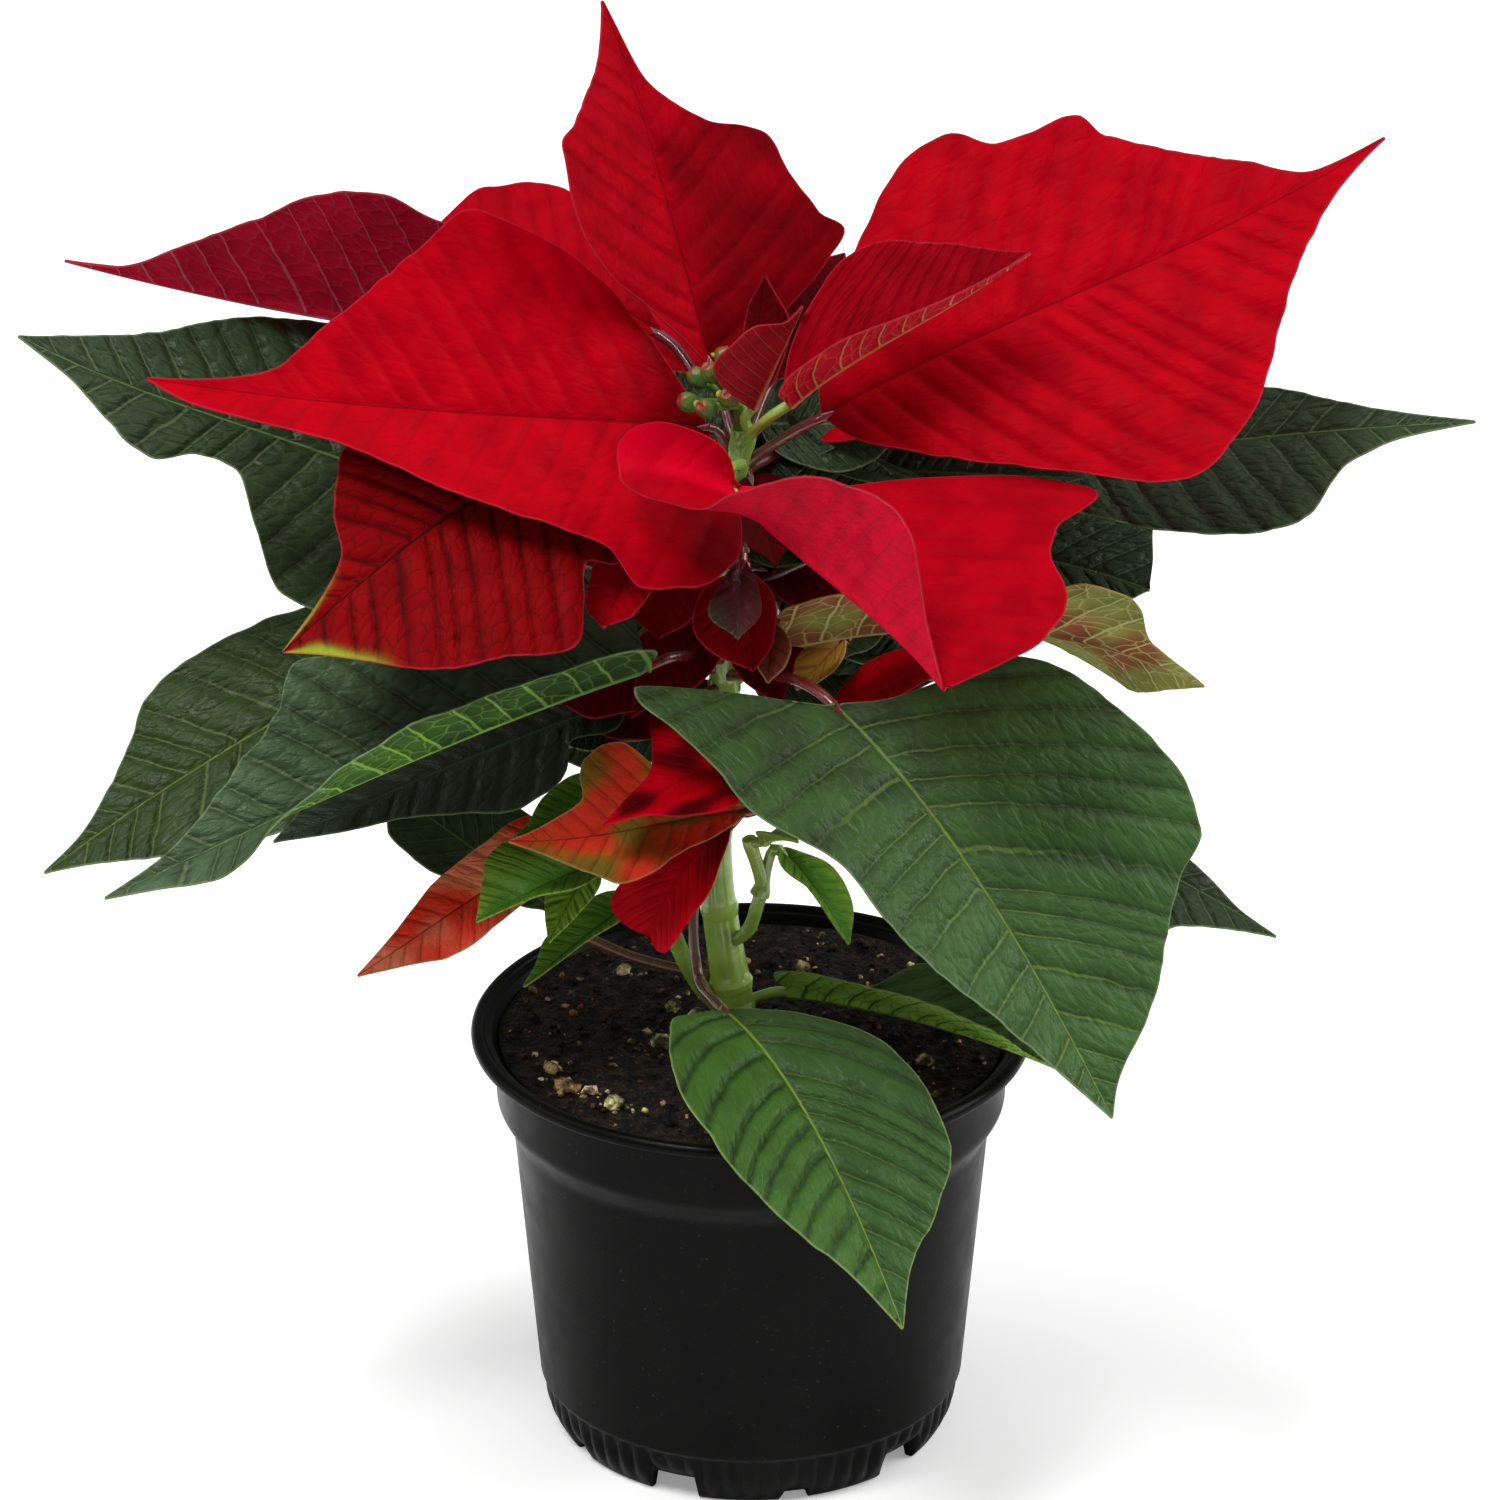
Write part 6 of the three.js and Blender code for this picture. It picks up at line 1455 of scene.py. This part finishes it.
def shape_pot(bm, flutes, flute_depth):
    """Flutes around the foot, and notches in the edge that it stands on."""
    low, high = FLUTE_SPAN
    fade_in, fade_out = NOTCH_FADE
    for vertex in bm.verts:
        x, y, z = (value / MM for value in vertex.co)
        radius = math.hypot(x, y)
        if radius < fade_in or z > high:
            continue
        angle = math.atan2(x, -y)
        if radius > OUTER_RADIUS and low < z < high:
            shape = math.sin(math.pi * (z - low) / (high - low)) ** FLUTE_POWER
            wave = abs(math.cos(flutes / 2 * angle)) - FLUTE_MIDDLE
            radius_now = radius + flute_depth * shape * wave
            x, y = x * radius_now / radius, y * radius_now / radius
        notch = notch_height(math.degrees(angle)) * min(1, (radius - fade_in) / (fade_out - fade_in))
        if z < NOTCH_TOP:
            z = notch + z * (NOTCH_TOP - notch) / NOTCH_TOP
        vertex.co = Vector((x, y, z)) * MM


def pot_material(colour):
    """Moulded plastic with a satin face, faint turning marks and a little dust."""
    n = Nodes("pot_black")
    place = n.add("TexCoord").outputs["Object"]
    rings = n.add("Mapping", {"Vector": place, "Scale": (0.05, 0.05, 1.0)}).outputs[0]
    cloud = n.ramp(n.noise(place, scale=60.0, detail=4.0), 0.35, 0.75, *POT_SHADES)
    base = n.mix(1.0, colour, n.grey(cloud), "MULTIPLY")
    dust = n.ramp(n.noise(place, scale=900.0, detail=3.0), 0.66, 0.8, out_high=0.25)
    relief = n.math("ADD", n.noise(place, scale=2500.0), n.noise(rings, scale=1500.0))
    n.bump(n.math("MULTIPLY", relief, 0.03 * MM))
    return n.finish(Base_Color=n.mix(dust, base, srgb("6a665e")),
                    Roughness=n.mottle(place, scale=130.0, low=0.28, high=0.38, detail=3.0),
                    Specular_IOR_Level=0.07)


# ---------------- stage

LENS = 189.1  # millimetres
DISTANCE = 1.8  # metres
ELEVATION = math.radians(24.5)
POWER = 36.0  # of the key light, in watts
SURROUND = 0.22  # how strongly the white surroundings light the plant
VIEW_END = 50.0  # metres
FLOOR_HALF = 6.0  # metres
FLOOR_COLOUR = srgb("fafafa")
FLOOR_LIFT = 0.28  # light that the floor gives off to the camera
BACKDROP = 1.0  # brightness of the surroundings as the camera sees them
SENSOR = 36.0  # millimetres
AIM = (-0.23, 0.0, 171.2)
LIGHTS = (  # name, place in metres, size in metres, share of the power
    ("key", (-0.7, -0.8, 2.2), 0.8, 1.0),
    ("left", (-1.9, 0.2, 1.4), 1.6, 0.36),
    ("right", (1.9, 0.2, 1.5), 1.6, 1.0),
    ("top", (0.3, 0.5, 2.6), 2.0, 0.5))


def aimed(place, target):
    """A turned frame at a place, looking at the target."""
    place, target = Vector(place), Vector(target)
    return Matrix.Translation(place) @ (target - place).to_track_quat("-Z", "Y").to_matrix().to_4x4()


def build_camera(scene, look):
    data = bpy.data.cameras.new("camera")
    data.lens = look.lens
    data.sensor_width = SENSOR
    data.clip_end = VIEW_END
    camera = bpy.data.objects.new("camera", data)
    scene.collection.objects.link(camera)
    target = Vector(AIM) * MM
    height = look.elevation
    offset = Vector((0, -math.cos(height), math.sin(height))) * look.distance
    camera.matrix_world = aimed(target + offset, target)
    scene.camera = camera


def build_lights(scene, look):
    target = Vector(AIM) * MM
    for name, place, size, share in LIGHTS:
        data = bpy.data.lights.new(name, "AREA")
        data.energy = look.power * share
        data.size = size
        light = bpy.data.objects.new(name, data)
        light.matrix_world = aimed(place, target)
        scene.collection.objects.link(light)


def build_world(scene, look):
    world = bpy.data.worlds.new("world")
    world.use_nodes = True
    nodes, links = world.node_tree.nodes, world.node_tree.links
    background = nodes["Background"]
    background.inputs["Color"].default_value = (1, 1, 1, 1)
    seen = nodes.new("ShaderNodeLightPath").outputs["Is Camera Ray"]
    strength = nodes.new("ShaderNodeMapRange")
    strength.inputs["To Min"].default_value = look.surround
    strength.inputs["To Max"].default_value = BACKDROP
    links.new(seen, strength.inputs["Value"])
    links.new(strength.outputs["Result"], background.inputs["Strength"])
    scene.world = world


def build_floor():
    bm = bmesh.new()
    bmesh.ops.create_grid(bm, x_segments=1, y_segments=1, size=FLOOR_HALF)
    n = Nodes("floor")
    place = n.add("TexCoord").outputs["Object"]
    shade = n.mottle(place, scale=3.0, low=0.97, high=1.0)
    seen = n.add("LightPath").outputs["Is Camera Ray"]
    n.finish(Base_Color=n.mix(1.0, FLOOR_COLOUR, n.grey(shade), "MULTIPLY"), Roughness=0.9,
             Emission_Color=FLOOR_COLOUR, Emission_Strength=n.math("MULTIPLY", seen, FLOOR_LIFT))
    mesh = bpy.data.meshes.new("floor")
    bm.to_mesh(mesh)
    bm.free()
    mesh.materials.append(n.material)
    floor = bpy.data.objects.new("floor", mesh)
    bpy.context.scene.collection.objects.link(floor)


# ---------------- settings


class PotSettings(bpy.types.PropertyGroup):
    """What can be changed of the pot."""

    colour: bpy.props.FloatVectorProperty(
        name="Colour", description="Colour of the plastic", default=POT_COLOUR, min=0, max=1, subtype="COLOR")
    flutes: bpy.props.IntProperty(
        name="Flutes", description="Number of flutes around the foot", default=FLUTES, min=0)
    flute_depth: bpy.props.FloatProperty(
        name="Flute depth", description="Depth of the flutes, in millimetres", default=FLUTE_DEPTH, min=0)


class SoilSettings(bpy.types.PropertyGroup):
    """What can be changed of the soil."""

    colour: bpy.props.FloatVectorProperty(
        name="Colour", description="Colour of the peat", default=SOIL_DARK, min=0, max=1, subtype="COLOR")
    crumbs: bpy.props.IntProperty(
        name="Crumbs", description="Number of loose crumbs on the soil", default=CRUMBS, min=0)
    seed: bpy.props.IntProperty(
        name="Seed", description="Arrangement of the crumbs", default=CRUMB_SEED)


class StemSettings(bpy.types.PropertyGroup):
    """What can be changed of the stem and the stalks."""

    low_colour: bpy.props.FloatVectorProperty(
        name="Low colour", description="Colour of the stem near the soil", default=STEM_TINTS[0], min=0,
        max=1, subtype="COLOR")
    high_colour: bpy.props.FloatVectorProperty(
        name="High colour", description="Colour of the stem below the flower buds", default=STEM_TINTS[1],
        min=0, max=1, subtype="COLOR")
    stalk_radius: bpy.props.FloatProperty(
        name="Stalk radius", description="Radius of the leaves' stalks, in millimetres",
        default=STALK_RADIUS, min=STALK_END)


class LeafSettings(bpy.types.PropertyGroup):
    """What can be changed of the leaves and bracts."""

    bract_tint: bpy.props.FloatVectorProperty(
        name="Bract tint", description="What the colours of the red and turning bracts are multiplied by",
        default=(1, 1, 1), min=0, soft_max=4, subtype="COLOR")
    leaf_tint: bpy.props.FloatVectorProperty(
        name="Leaf tint", description="What the colours of the green leaves are multiplied by",
        default=(1, 1, 1), min=0, soft_max=4, subtype="COLOR")
    quilting: bpy.props.FloatProperty(
        name="Quilting", description="Height of the swellings between the veins, against the usual one",
        default=1, min=0, subtype="FACTOR", soft_max=2)
    waviness: bpy.props.FloatProperty(
        name="Waviness", description="Height of the waves in the margins, against the usual one",
        default=1, min=0, subtype="FACTOR", soft_max=2)


class StageSettings(bpy.types.PropertyGroup):
    """What can be changed of the camera and the light."""

    lens: bpy.props.FloatProperty(
        name="Lens", description="Focal length of the camera", default=LENS, min=1, unit="CAMERA")
    distance: bpy.props.FloatProperty(
        name="Distance", description="Distance of the camera from the plant", default=DISTANCE, min=0.1,
        unit="LENGTH")
    elevation: bpy.props.FloatProperty(
        name="Elevation", description="Height of the camera above the horizon", default=ELEVATION,
        subtype="ANGLE")
    power: bpy.props.FloatProperty(
        name="Key light", description="Power of the key light", default=POWER, min=0, unit="POWER")
    surround: bpy.props.FloatProperty(
        name="Surround", description="Strength of the white surroundings", default=SURROUND, min=0)


SETTINGS = (
    ("poinsettia_pot", PotSettings), ("poinsettia_soil", SoilSettings), ("poinsettia_stem", StemSettings),
    ("poinsettia_leaves", LeafSettings), ("poinsettia_stage", StageSettings))

# ---------------- operators


def build_pot(settings):
    bm = bmesh.new()
    spun(bm, rounded(POT_PROFILE), POT_STEPS)
    shape_pot(bm, settings.flutes, settings.flute_depth)
    piece = new_object("nursery_pot", bm, [pot_material(tuple(settings.colour))])
    piece.data.set_sharp_from_angle(angle=POT_SHARP_EDGE)
    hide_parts("pot")


def build_soil(settings):
    bm = bmesh.new()
    layer = bm.verts.layers.float_color.new("tint")
    add_soil_block(bm, layer, tuple(settings.colour))
    add_crumbs(bm, layer, settings.crumbs, settings.seed)
    piece = new_object("potting_soil", bm, [soil_material()])
    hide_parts("soil")


def build_stem(settings):
    bm = bmesh.new()
    layer = bm.verts.layers.float_color.new("tint")
    add_stem(bm, layer, (tuple(settings.low_colour), tuple(settings.high_colour)))
    add_shoots(bm, layer)
    for leaf in (*LEAVES, *AXIL_LEAVES):
        add_stalk(bm, layer, leaf, settings.stalk_radius)
    bmesh.ops.recalc_face_normals(bm, faces=bm.faces[:])
    piece = new_object("stem_and_stalks", bm, [stem_material()])
    piece.data.set_sharp_from_angle(angle=STEM_SHARP_EDGE)
    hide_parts("stem")


def build_buds():
    bm = bmesh.new()
    layer = bm.verts.layers.float_color.new("tint")
    rng = random.Random(BUD_SEED)
    for place in BUDS:
        add_bud(bm, layer, place, rng)
    add_rod(bm, layer, (BUD_STEM_FOOT, BUD_FOOT), (BUD_GREEN, BUD_GREEN), BUD_COLUMN)
    bmesh.ops.recalc_face_normals(bm, faces=bm.faces[:])
    piece = new_object("flower_buds", bm, [bud_material()])
    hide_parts("cyathia")


def build_blades(settings, slot):
    tint = settings.bract_tint if slot.startswith("bract") else settings.leaf_tint
    materials = [blade_material(slot, face, tuple(tint)) for face in ("upper", "under")]
    for leaf in (*LEAVES, *AXIL_LEAVES):
        if leaf.slot == slot:
            build_blade(leaf, materials, settings)


class BuildPot(bpy.types.Operator):
    """Builds the fluted nursery pot"""

    bl_idname = "poinsettia.pot"
    bl_label = "Pot"

    def execute(self, context):
        build_pot(context.scene.poinsettia_pot)
        return {"FINISHED"}


class BuildSoil(bpy.types.Operator):
    """Builds the soil with its crumbs"""

    bl_idname = "poinsettia.soil"
    bl_label = "Soil"

    def execute(self, context):
        build_soil(context.scene.poinsettia_soil)
        return {"FINISHED"}


class BuildStem(bpy.types.Operator):
    """Builds the stem, its side shoots and every leaf's stalk"""

    bl_idname = "poinsettia.stem"
    bl_label = "Stem"

    def execute(self, context):
        build_stem(context.scene.poinsettia_stem)
        return {"FINISHED"}


class BuildBuds(bpy.types.Operator):
    """Builds the flower buds in the middle of the head"""

    bl_idname = "poinsettia.buds"
    bl_label = "Flower buds"

    def execute(self, context):
        build_buds()
        return {"FINISHED"}


class BuildRedBracts(bpy.types.Operator):
    """Builds the red bracts"""

    bl_idname = "poinsettia.red_bracts"
    bl_label = "Red bracts"

    def execute(self, context):
        build_blades(context.scene.poinsettia_leaves, "bract_red")
        return {"FINISHED"}


class BuildTurningBracts(bpy.types.Operator):
    """Builds the bracts that are part green and part red"""

    bl_idname = "poinsettia.turning_bracts"
    bl_label = "Turning bracts"

    def execute(self, context):
        build_blades(context.scene.poinsettia_leaves, "bract_turning")
        return {"FINISHED"}


class BuildGreenLeaves(bpy.types.Operator):
    """Builds the dark green leaves"""

    bl_idname = "poinsettia.green_leaves"
    bl_label = "Green leaves"

    def execute(self, context):
        build_blades(context.scene.poinsettia_leaves, "leaf_green")
        return {"FINISHED"}


class BuildYoungLeaves(bpy.types.Operator):
    """Builds the bright green young leaves"""

    bl_idname = "poinsettia.young_leaves"
    bl_label = "Young leaves"

    def execute(self, context):
        build_blades(context.scene.poinsettia_leaves, "leaf_young")
        return {"FINISHED"}


class BuildStage(bpy.types.Operator):
    """Builds the floor, the light and the camera"""

    bl_idname = "poinsettia.stage"
    bl_label = "Stage"

    def execute(self, context):
        scene = context.scene
        build_floor()
        build_world(scene, scene.poinsettia_stage)
        build_lights(scene, scene.poinsettia_stage)
        build_camera(scene, scene.poinsettia_stage)
        scene.view_settings.view_transform = "Standard"
        return {"FINISHED"}


OPERATORS = (
    BuildPot, BuildSoil, BuildStem, BuildBuds, BuildRedBracts, BuildTurningBracts, BuildGreenLeaves,
    BuildYoungLeaves, BuildStage)


class PoinsettiaPanel(bpy.types.Panel):
    """Lists the settings and the building steps"""

    bl_idname = "VIEW3D_PT_poinsettia"
    bl_label = "Potted poinsettia"
    bl_space_type = "VIEW_3D"
    bl_region_type = "UI"
    bl_category = "Poinsettia"

    def draw(self, context):
        for name, group in SETTINGS:
            box = self.layout.box()
            for field in group.__annotations__:
                box.prop(getattr(context.scene, name), field)
        for operator in OPERATORS:
            self.layout.operator(operator.bl_idname)


CLASSES = (*(group for _, group in SETTINGS), *OPERATORS, PoinsettiaPanel)


def register():
    for cls in CLASSES:
        bpy.utils.register_class(cls)
    for name, group in SETTINGS:
        setattr(bpy.types.Scene, name, bpy.props.PointerProperty(type=group))


def unregister():
    for name, _ in SETTINGS:
        delattr(bpy.types.Scene, name)
    for cls in reversed(CLASSES):
        bpy.utils.unregister_class(cls)


def main():
    register()
    bpy.ops.poinsettia.pot()
    bpy.ops.poinsettia.soil()
    bpy.ops.poinsettia.stem()
    bpy.ops.poinsettia.buds()
    bpy.ops.poinsettia.red_bracts()
    bpy.ops.poinsettia.turning_bracts()
    bpy.ops.poinsettia.green_leaves()
    bpy.ops.poinsettia.young_leaves()
    bpy.ops.poinsettia.stage()


if __name__ == "__main__":
    main()
